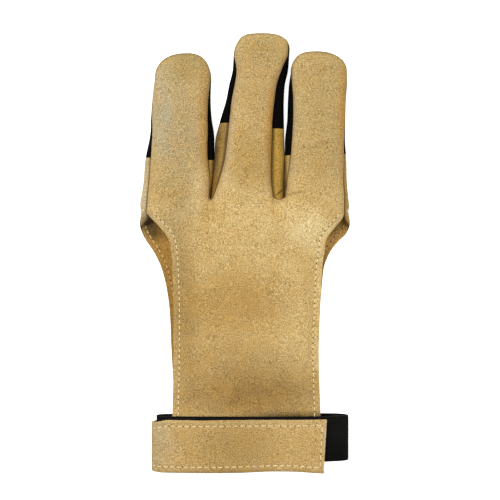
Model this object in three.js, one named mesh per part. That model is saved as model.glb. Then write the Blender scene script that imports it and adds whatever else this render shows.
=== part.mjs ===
// A three-finger archery shooting glove, lying on its back with the palm side up.
// Millimetres, +X to the right, +Y towards the fingertips, +Z up out of the palm.
// Every piece is a soft sheet of even thickness: a surface is worked out first,
// as rows of points, and is then thickened inwards into one closed solid.
import * as THREE from "three";

// Sheet thicknesses and clearances
const SUEDE = 1.4;
const STRETCH_FABRIC = 1.0;
const STRAP_SUEDE = 1.8;
const ELASTIC = 1.2;
const HOOK_TAPE = 0.9;
const SEAM_GAP = 0.3;

// Main sizes
const PALM_LENGTH = 136.6; // from the line of the finger crotches to the strap's lower edge
const FINGER_HEIGHT = 17;
const SEAM_HEIGHT = 9.4; // where the front leaf is sewn to the side walls
const LOW_SEAM_SHARE = 0.66; // how far down a side wall the gusset meets the back leaf
const WIDEST_HEIGHT = 6; // where a finger is widest
const SIDE_WALL = 7; // how far a side wall may stand out past the leaf
const FLOOR_RADIUS = 4; // from a side wall into the flat back
const PALM_TAB_LEFT = 38.6; // half widths of the long tab that runs to the wrist
const PALM_TAB_RIGHT = 35;
const PALM_HEIGHT = 16;
const WRIST_HEIGHT = 12.6; // top of the palm leaf inside the wrist loop
const PALM_CROWN = 1.8;
const WEB_DIP = 1.4; // how far the web between two fingers dips below the crotch line
const SIDE_SEAM_LENGTH = 8; // closed side seam below the crotch line
const SIDE_OPENING = 10; // length over which the back leaf's walls lie down below that seam
const EDGE_WIDTH = 7; // back leaf's free edge that curls up a little, by EDGE_CURL
const EDGE_CURL = 1;
const LEAF_END = 5; // the leaves end this far above the strap's lower edge

// Wrist loop
const STRAP_WIDTH = 26.4;
const ELASTIC_WIDTH = 22.5;
const ELASTIC_RAISE = 5; // elastic's lower edge above the strap's lower edge
const LOOP_HALF_WIDTH = 49.3;
const STRAP_FREE_END = 38; // where the suede ends on the front, right of the middle
const STRAP_SLANT = 1.5; // how much further left the free end's lower corner is
const STRAP_BACK_END = -36; // where the suede ends on the back, beyond the left bend
const ELASTIC_CLIMB = 10; // length over which the elastic climbs onto the strap's back end
const LOOP_BEND = 8; // depth of the two round ends
const HOOK_LENGTH = 15;
const HOOK_WIDTH = 17;

// The middle finger leans by this much from its base to its tip.
const MIDDLE_BASE = -3.4;
const MIDDLE_LEAN = 9.1;
// Space between neighbouring fingers, at the widest
const SPREAD_LEFT = 12;
const SPREAD_RIGHT = 2;

// Each finger: at is a share of the reach up to the dome, leaf a share of the leaf's width,
// left and right the side walls as shares of SIDE_WALL, height a share of FINGER_HEIGHT.
// tipLean moves the very tip to the right, and tipSwing the dome below it, both in millimetres.
const FINGERS = {
  ring: {
    reach: 72, leafWidth: 28, dome: 13.5, roundness: 2.3, tipLean: 1.7, tipSwing: 0,
    stretchLeft: 0.34, stretchRight: 0.32,
    rows: [
      { at: 0.0, leaf: 1.08, left: 0.55, right: 0.1, height: 0.97 },
      { at: 0.145, leaf: 1.066, left: 0.49, right: 0.18, height: 1.0 },
      { at: 0.316, leaf: 1.01, left: 0.46, right: 0.46, height: 0.98 },
      { at: 0.487, leaf: 0.987, left: 0.25, right: 0.48, height: 0.97 },
      { at: 0.658, leaf: 0.987, left: 0.13, right: 0.3, height: 0.96 },
      { at: 0.83, leaf: 0.99, left: 0.06, right: 0.16, height: 0.95 },
      { at: 1.0, leaf: 1.0, left: 0.02, right: 0.02, height: 0.93 },
    ],
  },
  middle: {
    reach: 81.8, leafWidth: 22, dome: 11.5, roundness: 3.1, tipLean: 0, tipSwing: 0.8,
    stretchLeft: 0.53, stretchRight: 0.49,
    rows: [
      { at: 0.0, leaf: 1.35, left: 0.19, right: 0.8, height: 0.97 },
      { at: 0.12, leaf: 1.17, left: 0.5, right: 0.95, height: 1.0 },
      { at: 0.264, leaf: 1.045, left: 0.75, right: 1.0, height: 1.0 },
      { at: 0.407, leaf: 1.0, left: 0.89, right: 0.92, height: 0.99 },
      { at: 0.55, leaf: 0.97, left: 0.69, right: 0.83, height: 0.97 },
      { at: 0.693, leaf: 0.966, left: 0.43, right: 0.68, height: 0.96 },
      { at: 0.807, leaf: 0.95, left: 0.43, right: 0.59, height: 0.96 },
      { at: 0.907, leaf: 1.03, left: 0.29, right: 0.46, height: 0.95 },
      { at: 1.0, leaf: 1.22, left: 0.05, right: 0.12, height: 0.93 },
    ],
  },
  index: {
    reach: 73, leafWidth: 26, dome: 11, roundness: 2.3, tipLean: -2, tipSwing: 0,
    stretchLeft: 0.34, stretchRight: 0.35,
    rows: [
      { at: 0.0, leaf: 1.115, left: 0.07, right: 0.34, height: 0.97 },
      { at: 0.137, leaf: 1.067, left: 0.21, right: 0.31, height: 1.0 },
      { at: 0.298, leaf: 1.023, left: 0.37, right: 0.23, height: 0.98 },
      { at: 0.46, leaf: 0.994, left: 0.49, right: 0.13, height: 0.97 },
      { at: 0.62, leaf: 0.992, left: 0.41, right: 0.07, height: 0.96 },
      { at: 0.782, leaf: 1.004, left: 0.36, right: 0.06, height: 0.95 },
      { at: 0.911, leaf: 1.05, left: 0.2, right: 0.06, height: 0.94 },
      { at: 1.0, leaf: 1.067, left: 0.03, right: 0.03, height: 0.93 },
    ],
  },
};
const FINGER_NAMES = ["ring", "middle", "index"];

// Lean of the middle finger, and the spaces beside it, along the middle finger's reach
const SPREAD_ROWS = [
  { at: 0.0, lean: 0.0, left: 0.03, right: 0.2 },
  { at: 0.104, lean: 0.11, left: 0.012, right: 0.07 },
  { at: 0.226, lean: 0.26, left: 0.012, right: 0.07 },
  { at: 0.34, lean: 0.345, left: 0.025, right: 0.12 },
  { at: 0.4, lean: 0.385, left: 0.13, right: 0.42 },
  { at: 0.471, lean: 0.43, left: 0.34, right: 0.82 },
  { at: 0.593, lean: 0.55, left: 0.64, right: 1.0 },
  { at: 0.691, lean: 0.7, left: 0.755, right: 1.0 },
  { at: 0.777, lean: 0.875, left: 0.85, right: 0.75 },
  { at: 1.0, lean: 1.11, left: 0.95, right: 0.6 },
];

// Free edges of the two leaves: at is a share of PALM_LENGTH below the crotch line,
// 1 the full width at the knuckles and 0 the width of the tab at the wrist.
const EDGE_ROWS = [
  { at: 0.0, palmLeft: 1.0, palmRight: 1.0, backLeft: 1.0, backRight: 1.0 },
  { at: 0.029, palmLeft: 1.02, palmRight: 1.0, backLeft: 1.01, backRight: 1.01 },
  { at: 0.056, palmLeft: 1.05, palmRight: 1.0, backLeft: 1.0, backRight: 1.01 },
  { at: 0.078, palmLeft: 0.87, palmRight: 0.93, backLeft: 1.06, backRight: 1.05 },
  { at: 0.104, palmLeft: 0.58, palmRight: 0.69, backLeft: 1.11, backRight: 1.07 },
  { at: 0.137, palmLeft: 0.26, palmRight: 0.36, backLeft: 1.0, backRight: 0.93 },
  { at: 0.162, palmLeft: 0.12, palmRight: 0.2, backLeft: 0.85, backRight: 0.68 },
  { at: 0.198, palmLeft: 0.04, palmRight: 0.16, backLeft: 0.64, backRight: 0.41 },
  { at: 0.25, palmLeft: 0.0, palmRight: 0.08, backLeft: 0.42, backRight: 0.19 },
  { at: 0.32, palmLeft: -0.03, palmRight: 0.03, backLeft: 0.25, backRight: 0.1 },
  { at: 0.42, palmLeft: -0.05, palmRight: -0.02, backLeft: 0.13, backRight: 0.03 },
  { at: 0.55, palmLeft: -0.05, palmRight: -0.07, backLeft: 0.08, backRight: -0.02 },
  { at: 0.68, palmLeft: -0.03, palmRight: -0.04, backLeft: 0.02, backRight: -0.02 },
  { at: 0.78, palmLeft: 0.0, palmRight: 0.0, backLeft: 0.0, backRight: 0.0 },
  { at: 0.88, palmLeft: 0.0, palmRight: 0.0, backLeft: 0.0, backRight: 0.0 },
  { at: 1.0, palmLeft: 0.0, palmRight: 0.0, backLeft: 0.0, backRight: 0.0 },
];

// Height of the palm leaf along its middle: 1 is PALM_HEIGHT, 0 is WRIST_HEIGHT.
const PALM_PROFILE = [
  { at: 0.0, height: 1.0 },
  { at: 0.12, height: 0.86 },
  { at: 0.3, height: 0.56 },
  { at: 0.55, height: 0.5 },
  { at: 0.68, height: 0.22 },
  { at: 0.755, height: 0.0 },
  { at: 1.0, height: 0.0 },
];

// Soft folds and hollows of the palm and the finger bases: across is a share of the tab's half
// width, along, long and wide are shares of PALM_LENGTH, and depth is a share of PALM_CROWN.
const FOLDS = [
  { across: -0.54, along: 0.04, long: 0.075, wide: 0.024, turn: 0.35, depth: 0.85 },
  { across: 0.4, along: 0.03, long: 0.05, wide: 0.03, turn: -0.2, depth: 0.45 },
  { across: -0.62, along: 0.34, long: 0.1, wide: 0.2, turn: 0.3, depth: 0.7 },
  { across: 0.05, along: 0.42, long: 0.05, wide: 0.14, turn: -0.35, depth: 0.35 },
  { across: 0.85, along: 0.12, long: 0.08, wide: 0.11, turn: -0.6, depth: -0.5 },
  { across: -0.1, along: 0.14, long: 0.05, wide: 0.16, turn: 0.1, depth: -0.3 },
  { across: -0.9, along: -0.1, long: 0.12, wide: 0.034, turn: 0.25, depth: 0.45 },
  { across: -0.66, along: -0.05, long: 0.1, wide: 0.022, turn: 0.2, depth: -0.4 },
  { across: 0.64, along: -0.024, long: 0.06, wide: 0.012, turn: -1.11, depth: 0.4 },
];

// A smooth curve through one column of a table
function through(rows, column, at) {
  const last = rows.length - 1;
  if (at <= rows[0].at) return rows[0][column];
  if (at >= rows[last].at) return rows[last][column];
  let i = 0;
  while (rows[i + 1].at < at) i += 1;
  const span = rows[i + 1].at - rows[i].at;
  const share = (at - rows[i].at) / span;
  const slope = (k) => {
    const before = rows[Math.max(k - 1, 0)];
    const after = rows[Math.min(k + 1, last)];
    return ((after[column] - before[column]) / (after.at - before.at)) * span;
  };
  const s2 = share * share;
  const s3 = s2 * share;
  return (
    rows[i][column] * (2 * s3 - 3 * s2 + 1) +
    slope(i) * (s3 - 2 * s2 + share) +
    rows[i + 1][column] * (3 * s2 - 2 * s3) +
    slope(i + 1) * (s3 - s2)
  );
}

function smoothstep(low, high, value) {
  const share = Math.min(1, Math.max(0, (value - low) / (high - low)));
  return share * share * (3 - 2 * share);
}

const lerp = (a, b, share) => a + (b - a) * share;
const steps = (from, to, count) =>
  Array.from({ length: count + 1 }, (_, i) => lerp(from, to, i / count));

// Where a finger's seams and sides stand at a height y above the crotch line.
// The middle finger is placed first, and the others beside it with their spaces.
function middleAt(y) {
  const finger = FINGERS.middle;
  const at = y / (finger.reach - finger.dome);
  const along = y / finger.reach;
  const middle = MIDDLE_BASE + MIDDLE_LEAN * through(SPREAD_ROWS, "lean", along);
  const half = (finger.leafWidth / 2) * through(finger.rows, "leaf", at);
  const seamLeft = middle - half;
  const seamRight = middle + half;
  return {
    seamLeft,
    seamRight,
    sideLeft: seamLeft - SIDE_WALL * through(finger.rows, "left", at),
    sideRight: seamRight + SIDE_WALL * through(finger.rows, "right", at),
  };
}

function sectionAt(name, y) {
  const finger = FINGERS[name];
  const at = y / (finger.reach - finger.dome);
  const height = FINGER_HEIGHT * through(finger.rows, "height", at);
  const neighbour = middleAt(y);
  if (name === "middle") return { ...neighbour, height };
  const along = y / FINGERS.middle.reach;
  const leaf = finger.leafWidth * through(finger.rows, "leaf", at);
  const left = SIDE_WALL * through(finger.rows, "left", at);
  const right = SIDE_WALL * through(finger.rows, "right", at);
  if (name === "ring") {
    const sideRight = neighbour.sideLeft - SPREAD_LEFT * through(SPREAD_ROWS, "left", along);
    const seamRight = sideRight - right;
    const seamLeft = seamRight - leaf;
    return { seamLeft, seamRight, sideLeft: seamLeft - left, sideRight, height };
  }
  const sideLeft = neighbour.sideRight + SPREAD_RIGHT * through(SPREAD_ROWS, "right", along);
  const seamLeft = sideLeft + left;
  const seamRight = seamLeft + leaf;
  return { seamLeft, seamRight, sideLeft, sideRight: seamRight + right, height };
}

// The crowned front of a finger, from its left seam at 0 to its right seam at 1
const CROWN_POWER = 2.4;
function crown(share) {
  const angle = Math.PI * share;
  const across = -Math.sign(Math.cos(angle)) * Math.abs(Math.cos(angle)) ** (2 / CROWN_POWER);
  return { across, rise: Math.max(0, Math.sin(angle)) ** (2 / CROWN_POWER) };
}

// A side wall, from its upper edge at 0 out to the widest place and down to the floor at 1
function wall(edgeX, edgeZ, sideX, share) {
  const outwards = Math.sign(sideX - edgeX) || 1;
  const widest = Math.min(WIDEST_HEIGHT, edgeZ * 0.55);
  const radius = FLOOR_RADIUS * (widest / WIDEST_HEIGHT);
  if (share < 0.5) {
    const angle = Math.PI * share;
    return {
      x: edgeX + (sideX - edgeX) * Math.sin(angle),
      z: widest + (edgeZ - widest) * Math.cos(angle),
    };
  }
  const angle = Math.PI * (share - 0.5);
  return {
    x: sideX - outwards * radius * (1 - Math.cos(angle)),
    z: widest * (1 - Math.sin(angle)),
  };
}

// A point on a finger. along runs from 0 at the base to 1 at the foot of the dome and 2 at the tip.
// around runs from 0 to 1 over the front leaf, to 2 down the right wall, to 3 over the floor from
// right to left, and to 4 up the left wall.
const POLE_SHARE = 0.45; // height of the tip's middle, as a share of the finger's height there
const SWING_PEAK = 27 / 4; // makes the swing's greatest value 1
function fingerPoint(name, along, around) {
  const finger = FINGERS[name];
  const straight = finger.reach - finger.dome;
  const angle = (Math.PI / 2) * Math.max(0, along - 1);
  const climb = Math.sin(angle) ** (2 / finger.roundness);
  const y = straight * Math.min(along, 1) + finger.dome * climb;
  const section = sectionAt(name, Math.min(y, straight));
  const middle = (section.seamLeft + section.seamRight) / 2;
  const floorRight = wall(section.seamRight, SEAM_HEIGHT, section.sideRight, 1);
  const floorLeft = wall(section.seamLeft, SEAM_HEIGHT, section.sideLeft, 1);
  let x;
  let z;
  if (around <= 1) {
    const { across, rise } = crown(around);
    x = middle + ((section.seamRight - section.seamLeft) / 2) * across;
    const top = section.height - foldDepth(x, -y);
    z = SEAM_HEIGHT + SEAM_GAP + (top - SEAM_HEIGHT - SEAM_GAP) * rise;
  } else if (around <= 2) {
    ({ x, z } = wall(section.seamRight, SEAM_HEIGHT, section.sideRight, around - 1));
  } else if (around <= 3) {
    x = lerp(floorRight.x, floorLeft.x, around - 2);
    z = 0;
  } else {
    ({ x, z } = wall(section.seamLeft, SEAM_HEIGHT, section.sideLeft, 4 - around));
  }
  if (along > 1) {
    const shrink = Math.max(0, Math.cos(angle)) ** (2 / finger.roundness);
    const pole = section.height * POLE_SHARE;
    const moved = finger.tipLean * climb ** 3 + finger.tipSwing * SWING_PEAK * climb ** 2 * (1 - climb);
    x = middle + moved + (x - middle) * shrink;
    z = pole + (z - pole) * shrink;
  }
  return new THREE.Vector3(x, y, z);
}

// The outward normal of a finger, from its neighbours on the same stretch of the section
const PAST_SEAM = 1e-6; // the right wall starts just past 1, which is still the front leaf's edge
function fingerNormal(name, along, around) {
  const small = 0.02;
  const stretch = Math.min(3, Math.floor(around - (around > 0 && around % 1 === 0 ? small : 0)));
  const back = Math.max(stretch + PAST_SEAM, around - small);
  const front = Math.min(stretch + 1, around + small);
  const low = Math.max(0, along - small);
  const high = Math.min(1.98, along + small);
  const crosswise = fingerPoint(name, along, front).sub(fingerPoint(name, along, back));
  const lengthwise = fingerPoint(name, high, around).sub(fingerPoint(name, low, around));
  return crosswise.cross(lengthwise).normalize();
}

// A sheet: outer points with optional normals, and faces that turn anticlockwise seen from outside
class Sheet {
  constructor() {
    this.points = [];
    this.normals = [];
    this.faces = [];
  }
  add(point, normal = null) {
    this.points.push(point);
    this.normals.push(normal);
    return this.points.length - 1;
  }
  face(...corners) {
    const ring = corners.filter((c, i) => c !== corners[(i + 1) % corners.length]);
    for (let i = 1; i + 1 < ring.length; i += 1) this.faces.push([ring[0], ring[i], ring[i + 1]]);
  }
  // rows of vertex numbers; the outside is to the left of the way from the first row to the next
  grid(rows) {
    for (let r = 0; r + 1 < rows.length; r += 1)
      for (let c = 0; c + 1 < rows[r].length; c += 1)
        this.face(rows[r][c], rows[r][c + 1], rows[r + 1][c + 1], rows[r + 1][c]);
  }
  thicken(thickness) {
    const summed = this.points.map(() => new THREE.Vector3());
    for (const [a, b, c] of this.faces) {
      const [pa, pb, pc] = [this.points[a], this.points[b], this.points[c]];
      const normal = pb.clone().sub(pa).cross(pc.clone().sub(pa));
      for (const corner of [a, b, c]) summed[corner].add(normal);
    }
    const count = this.points.length;
    const inner = this.points.map((p, i) => {
      const normal = this.normals[i] ?? summed[i].normalize();
      return p.clone().addScaledVector(normal, -thickness);
    });
    const index = [];
    const edges = new Set(this.faces.flatMap(([a, b, c]) => [`${a}_${b}`, `${b}_${c}`, `${c}_${a}`]));
    for (const [a, b, c] of this.faces) {
      index.push(a, b, c, c + count, b + count, a + count);
      for (const [from, to] of [[a, b], [b, c], [c, a]]) {
        if (edges.has(`${to}_${from}`)) continue;
        index.push(to, from, from + count, to, from + count, to + count);
      }
    }
    const geometry = new THREE.BufferGeometry().setFromPoints([...this.points, ...inner]);
    geometry.setIndex(index);
    geometry.computeVertexNormals();
    return geometry;
  }
}

// Palm leaf: the three finger fronts, the palm and the tab, in one piece with caps over the tips
const LEAF_COLUMNS = 8;
const LEAF_ROWS = 9;
const WALL_STEPS = 3;
const FLOOR_STEPS = 3;
const DOME_ROWS = 5;
const GAP_COLUMNS = 3;
const PALM_ROWS = 20;
const ROW_GROWTH = 1.7; // the rows lie closer together near the crotch line
const palmStations = (length) =>
  steps(0, 1, PALM_ROWS)
    .slice(1)
    .map((share) => (share ** ROW_GROWTH * length) / PALM_LENGTH);

// Where the stretch fabric begins, at a place around the section, and the gap along a finger
const stretchEnd = (name, around) => {
  const share = Math.min(1, Math.max(0, around - 2));
  return lerp(FINGERS[name].stretchRight, FINGERS[name].stretchLeft, share);
};
const alongGap = (name) => SEAM_GAP / (FINGERS[name].reach - FINGERS[name].dome);
const CAP_START = 1 + 1 / DOME_ROWS; // the leaf goes right round the tip from its first dome row
const capGap = (name) => SEAM_GAP / (1.5 * FINGERS[name].dome);

// The two palm edges at a distance below the crotch line
function palmEdges(distance) {
  const at = distance / PALM_LENGTH;
  const knuckleLeft = sectionAt("ring", 0).seamLeft;
  const knuckleRight = sectionAt("index", 0).seamRight;
  return {
    left: lerp(-PALM_TAB_LEFT, knuckleLeft, through(EDGE_ROWS, "palmLeft", at)),
    right: lerp(PALM_TAB_RIGHT, knuckleRight, through(EDGE_ROWS, "palmRight", at)),
  };
}

function foldDepth(x, distance) {
  return FOLDS.reduce((total, fold) => {
    const dx = x - fold.across * PALM_TAB_LEFT;
    const dy = distance - fold.along * PALM_LENGTH;
    const lengthwise = dy * Math.cos(fold.turn) + dx * Math.sin(fold.turn);
    const crosswise = dx * Math.cos(fold.turn) - dy * Math.sin(fold.turn);
    const reach =
      (lengthwise / (fold.long * PALM_LENGTH)) ** 2 + (crosswise / (fold.wide * PALM_LENGTH)) ** 2;
    return total + fold.depth * PALM_CROWN * Math.exp(-reach);
  }, 0);
}

// Top of the palm leaf, before the drop towards the seams
function palmTop(x, distance) {
  const at = distance / PALM_LENGTH;
  const { left, right } = palmEdges(distance);
  const across = (2 * (x - left)) / (right - left) - 1;
  const middle = lerp(WRIST_HEIGHT, PALM_HEIGHT, through(PALM_PROFILE, "height", at));
  const fade = 1 - smoothstep(0.62, 0.755, at);
  return middle - PALM_CROWN * across * across * lerp(0.6, 1, fade) - foldDepth(x, distance) * fade;
}

// How much of a finger's rounding is left at a distance below the crotch line
const innerFade = (distance) =>
  0.7 * Math.exp(-distance / 1.6) + 0.3 * Math.exp(-((distance / 8) ** 1.5));
const outerFade = (distance) => 1 - smoothstep(SIDE_SEAM_LENGTH - 1, SIDE_SEAM_LENGTH + 13, distance);

// The columns of the palm leaf at the crotch line, left to right
function leafColumns() {
  const columns = [];
  FINGER_NAMES.forEach((name, f) => {
    steps(0, 1, LEAF_COLUMNS).forEach((share) => {
      const outer = (f === 0 && share <= 0.5) || (f === 2 && share >= 0.5);
      columns.push({ name, share, outer });
    });
    if (f === 2) return;
    steps(0, 1, GAP_COLUMNS)
      .slice(1, -1)
      .forEach((share) => columns.push({ gap: f, share, outer: false }));
  });
  return columns.map((column) => {
    if (column.name) return { ...column, point: fingerPoint(column.name, 0, column.share) };
    const from = fingerPoint(FINGER_NAMES[column.gap], 0, 1);
    const to = fingerPoint(FINGER_NAMES[column.gap + 1], 0, 0);
    const point = from.lerp(to, column.share);
    point.y -= WEB_DIP * Math.sin(Math.PI * column.share);
    return { ...column, point };
  });
}

function palmLeaf() {
  const sheet = new Sheet();
  const columns = leafColumns();
  const { left, right } = palmEdges(0);
  const crotchRow = columns.map(({ point, name, share }) => {
    if (name) return sheet.add(point, fingerNormal(name, 0, share));
    return sheet.add(point, new THREE.Vector3(0, 1, 0));
  });
  const palmRows = palmStations(PALM_LENGTH - LEAF_END).map((at) => {
    const distance = at * PALM_LENGTH;
    const edges = palmEdges(distance);
    return columns.map(({ point, outer }) => {
      const share = (point.x - left) / (right - left);
      const x = lerp(edges.left, edges.right, share);
      const fade = outer ? outerFade(distance) : innerFade(distance);
      const late = 1 - smoothstep(0, 0.2, at);
      const y = -distance + point.y * late;
      return sheet.add(new THREE.Vector3(x, y, lerp(palmTop(x, distance), point.z, fade)));
    });
  });
  sheet.grid([...palmRows.reverse(), crotchRow]);

  FINGER_NAMES.forEach((name, f) => {
    const start = f * (LEAF_COLUMNS + GAP_COLUMNS);
    const shares = steps(0, 1, LEAF_COLUMNS);
    const front = (along) =>
      shares.map((share) =>
        sheet.add(fingerPoint(name, along, share), fingerNormal(name, along, share)),
      );
    const domeAlongs = steps(1, 2, DOME_ROWS).slice(1, -1);
    const alongs = [...steps(0, 1, LEAF_ROWS).slice(1), ...domeAlongs];
    const rows = [crotchRow.slice(start, start + LEAF_COLUMNS + 1), ...alongs.map(front)];
    const pole = sheet.add(fingerPoint(name, 2, 0.5), new THREE.Vector3(0, 1, 0));
    rows.push(rows[0].map(() => pole));
    sheet.grid(rows);

    const backShares = backStretch();
    const back = (along, row) =>
      backShares.map((around, i) => {
        if (i === 0) return row[LEAF_COLUMNS];
        if (i === backShares.length - 1) return row[0];
        return sheet.add(fingerPoint(name, along, around), fingerNormal(name, along, around));
      });
    const capRows = domeAlongs.map((along, i) => back(along, rows[LEAF_ROWS + 1 + i]));
    capRows.push(capRows[0].map(() => pole));
    sheet.grid(capRows);
  });
  return sheet.thicken(SUEDE);
}

// The stretch of a finger's section from the right wall over the floor to the left wall
function backStretch(wallSteps = WALL_STEPS) {
  return [
    ...steps(1 + PAST_SEAM, 2, wallSteps),
    ...steps(2, 3, FLOOR_STEPS).slice(1, -1),
    ...steps(3, 4, wallSteps),
  ];
}

// Stretch-fabric back of a finger: both side walls and the flat back, between leaf and cap
function fingerBack(name) {
  const sheet = new Sheet();
  const arounds = backStretch(WALL_STEPS + 1);
  const point = (along, around) =>
    sheet.add(fingerPoint(name, along, around), fingerNormal(name, along, around));
  const rows = steps(0, 1, LEAF_ROWS - 2).map((share) =>
    arounds.map((around) => point(lerp(stretchEnd(name, around), 1, share), around)),
  );
  rows.push(arounds.map((around) => point(CAP_START - capGap(name), around)));
  sheet.grid(rows);
  return sheet.thicken(STRETCH_FABRIC);
}

// Gusset between two fingers: down one inner wall, round the web at the crotch and up the other
function gusset(leftName, rightName) {
  const sheet = new Sheet();
  const shares = steps(0, LOW_SEAM_SHARE - 0.04, 4);
  const wallColumns = (name, top, aroundOf) =>
    steps(top - alongGap(name), 0, 5).map((along) =>
      shares.map((share) =>
        sheet.add(
          fingerPoint(name, along, aroundOf(share)),
          fingerNormal(name, along, aroundOf(share)),
        ),
      ),
    );
  const down = wallColumns(leftName, FINGERS[leftName].stretchRight, (share) => 1 + PAST_SEAM + share);
  const up = wallColumns(rightName, FINGERS[rightName].stretchLeft, (share) => 4 - share);
  const web = steps(0, 1, GAP_COLUMNS)
    .slice(1, -1)
    .map((t) =>
      shares.map((share) => {
        const from = fingerPoint(leftName, 0, 1 + PAST_SEAM + share);
        const point = from.lerp(fingerPoint(rightName, 0, 4 - share), t);
        point.y -= WEB_DIP * Math.sin(Math.PI * t);
        point.z -= 2 * SEAM_GAP * Math.sin(Math.PI * t) * (1 - share);
        return sheet.add(point);
      }),
    );
  sheet.grid([...down, ...web, ...up.reverse()].reverse());
  return sheet.thicken(SUEDE);
}

// Height of the elastic's back run, which climbs onto the strap's back end at the left
const elasticRise = (x) =>
  (STRAP_SUEDE + SEAM_GAP) *
  (1 - smoothstep(STRAP_BACK_END + 1, STRAP_BACK_END + 1 + ELASTIC_CLIMB, x));

// An outer wall of the back leaf, which lies down flat where the side seam ends
function openWall(edgeX, sideX, outwards, share, open) {
  const upright = wall(edgeX, SEAM_HEIGHT, sideX + outwards * SEAM_GAP * 0.1, share);
  const flatX = sideX - outwards * EDGE_WIDTH * share;
  return {
    x: lerp(upright.x, flatX, open),
    z: lerp(upright.z, EDGE_CURL * (1 - share) ** 2, open),
  };
}

// Back leaf: the lower finger backs with the outer walls, and the back of the hand with its tab
function backLeaf() {
  const sheet = new Sheet();
  const columns = [];
  const low = LOW_SEAM_SHARE + 0.04;
  FINGER_NAMES.forEach((name, f) => {
    const leftWall = steps(f === 0 ? 0 : low, 1, f === 0 ? 6 : 2);
    const rightWall = steps(1, f === 2 ? 0 : low, f === 2 ? 6 : 2);
    const arounds = [
      ...leftWall.map((share) => 4 - share),
      ...steps(3, 2, FLOOR_STEPS + 1).slice(1, -1),
      ...rightWall.map((share) => 1 + PAST_SEAM + share),
    ];
    arounds.forEach((around) => columns.push({ name, around }));
    if (f === 2) return;
    steps(0, 1, GAP_COLUMNS)
      .slice(1, -1)
      .forEach((share) => columns.push({ gap: f, share }));
  });
  const firstFloor = columns.findIndex((column) => column.around === 3);
  const lastFloor = columns.findLastIndex((column) => !column.name || column.around >= 2);
  columns.forEach((column) => {
    if (column.name) {
      column.point = fingerPoint(column.name, 0, column.around);
      return;
    }
    const from = fingerPoint(FINGER_NAMES[column.gap], 0, 1 + low);
    column.point = from.lerp(fingerPoint(FINGER_NAMES[column.gap + 1], 0, 4 - low), column.share);
    column.point.y -= WEB_DIP * Math.sin(Math.PI * column.share);
  });
  const crotchRow = columns.map(({ name, around, point }) => {
    if (name) return sheet.add(point, fingerNormal(name, 0, around));
    return sheet.add(point, new THREE.Vector3(0, 1, 0));
  });

  const knuckle = { left: sectionAt("ring", 0), right: sectionAt("index", 0) };
  const floorLeft = columns[firstFloor].point.x;
  const floorRight = columns[lastFloor].point.x;
  const palmRows = palmStations(PALM_LENGTH - LEAF_END).map((at) => {
    const distance = at * PALM_LENGTH;
    const edges = palmEdges(distance);
    const sideLeft = lerp(-PALM_TAB_LEFT, knuckle.left.sideLeft, through(EDGE_ROWS, "backLeft", at));
    const sideRight = lerp(PALM_TAB_RIGHT, knuckle.right.sideRight, through(EDGE_ROWS, "backRight", at));
    const open = smoothstep(SIDE_SEAM_LENGTH, SIDE_SEAM_LENGTH + SIDE_OPENING, distance);
    const leftWall = (share) => openWall(edges.left, sideLeft, -1, share, open);
    const rightWall = (share) => openWall(edges.right, sideRight, 1, share, open);
    const strapLift = smoothstep(0.69, 0.745, at);
    return columns.map(({ point, around }, i) => {
      let x;
      let z;
      if (i <= firstFloor) ({ x, z } = leftWall(4 - around));
      else if (i >= lastFloor) ({ x, z } = rightWall(around - 1));
      else {
        const share = (point.x - floorLeft) / (floorRight - floorLeft);
        x = lerp(leftWall(1).x, rightWall(1).x, share);
        z = point.z * Math.exp(-distance / 1.6);
      }
      z += strapLift * (ELASTIC + SEAM_GAP + elasticRise(x));
      const late = 1 - smoothstep(0, 0.2, at);
      return sheet.add(new THREE.Vector3(x, -distance + point.y * late, z));
    });
  });
  sheet.grid([crotchRow, ...palmRows]);

  FINGER_NAMES.forEach((name) => {
    const members = columns.map((column, i) => ({ ...column, i })).filter((c) => c.name === name);
    const rows = steps(1, 0, 5).slice(0, -1).map((share) =>
      members.map(({ around }) => {
        const end = stretchEnd(name, around) - alongGap(name);
        return sheet.add(
          fingerPoint(name, end * share, around),
          fingerNormal(name, end * share, around),
        );
      }),
    );
    sheet.grid([...rows, members.map(({ i }) => crotchRow[i])]);
  });
  return sheet.thicken(SUEDE);
}

// Wrist loop: height over the palm leaf of the inner face of whatever lies on it
const overLeaf = (x) => {
  const distance = 0.88 * PALM_LENGTH;
  const { left, right } = palmEdges(distance);
  const inside = Math.min(right, Math.max(left, x));
  const beyond = Math.abs(x - inside);
  return palmTop(inside, distance) + SEAM_GAP - 0.035 * beyond * beyond;
};

// A band round the wrist: points of its outer face, seen from the wrist, swept over its width.
// Its edges may wave: rows of { at, upper, lower }, shares of the suede's thickness. A band that
// waves is also cut at a slant where it starts.
function band(path, lowerY, upperY, thickness, waves = null) {
  const sheet = new Sheet();
  const rows = path.map(([x, z], i) => {
    const at = i / (path.length - 1);
    const upper = upperY + (waves ? thickness * through(waves, "upper", at) : 0);
    const lower = lowerY + (waves ? thickness * through(waves, "lower", at) : 0);
    const slant = waves ? STRAP_SLANT * (1 - smoothstep(0, 0.15, at)) : 0;
    return steps(0, 1, 3).map((share) =>
      sheet.add(new THREE.Vector3(x - slant * (1 - share), lerp(lower, upper, share), z)),
    );
  });
  sheet.grid(rows);
  return sheet.thicken(thickness);
}

// A round end of the loop, from the front run's height down to the floor
function roundEnd(side, top, depth, foot = 0, share = 1) {
  const inner = LOOP_HALF_WIDTH - LOOP_BEND;
  return steps(0, share, 10).map((t) => {
    const angle = Math.PI * t;
    return [
      side * (inner + depth * Math.sin(angle)),
      foot + (top - foot) * (0.5 + 0.5 * Math.cos(angle)),
    ];
  });
}

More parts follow.
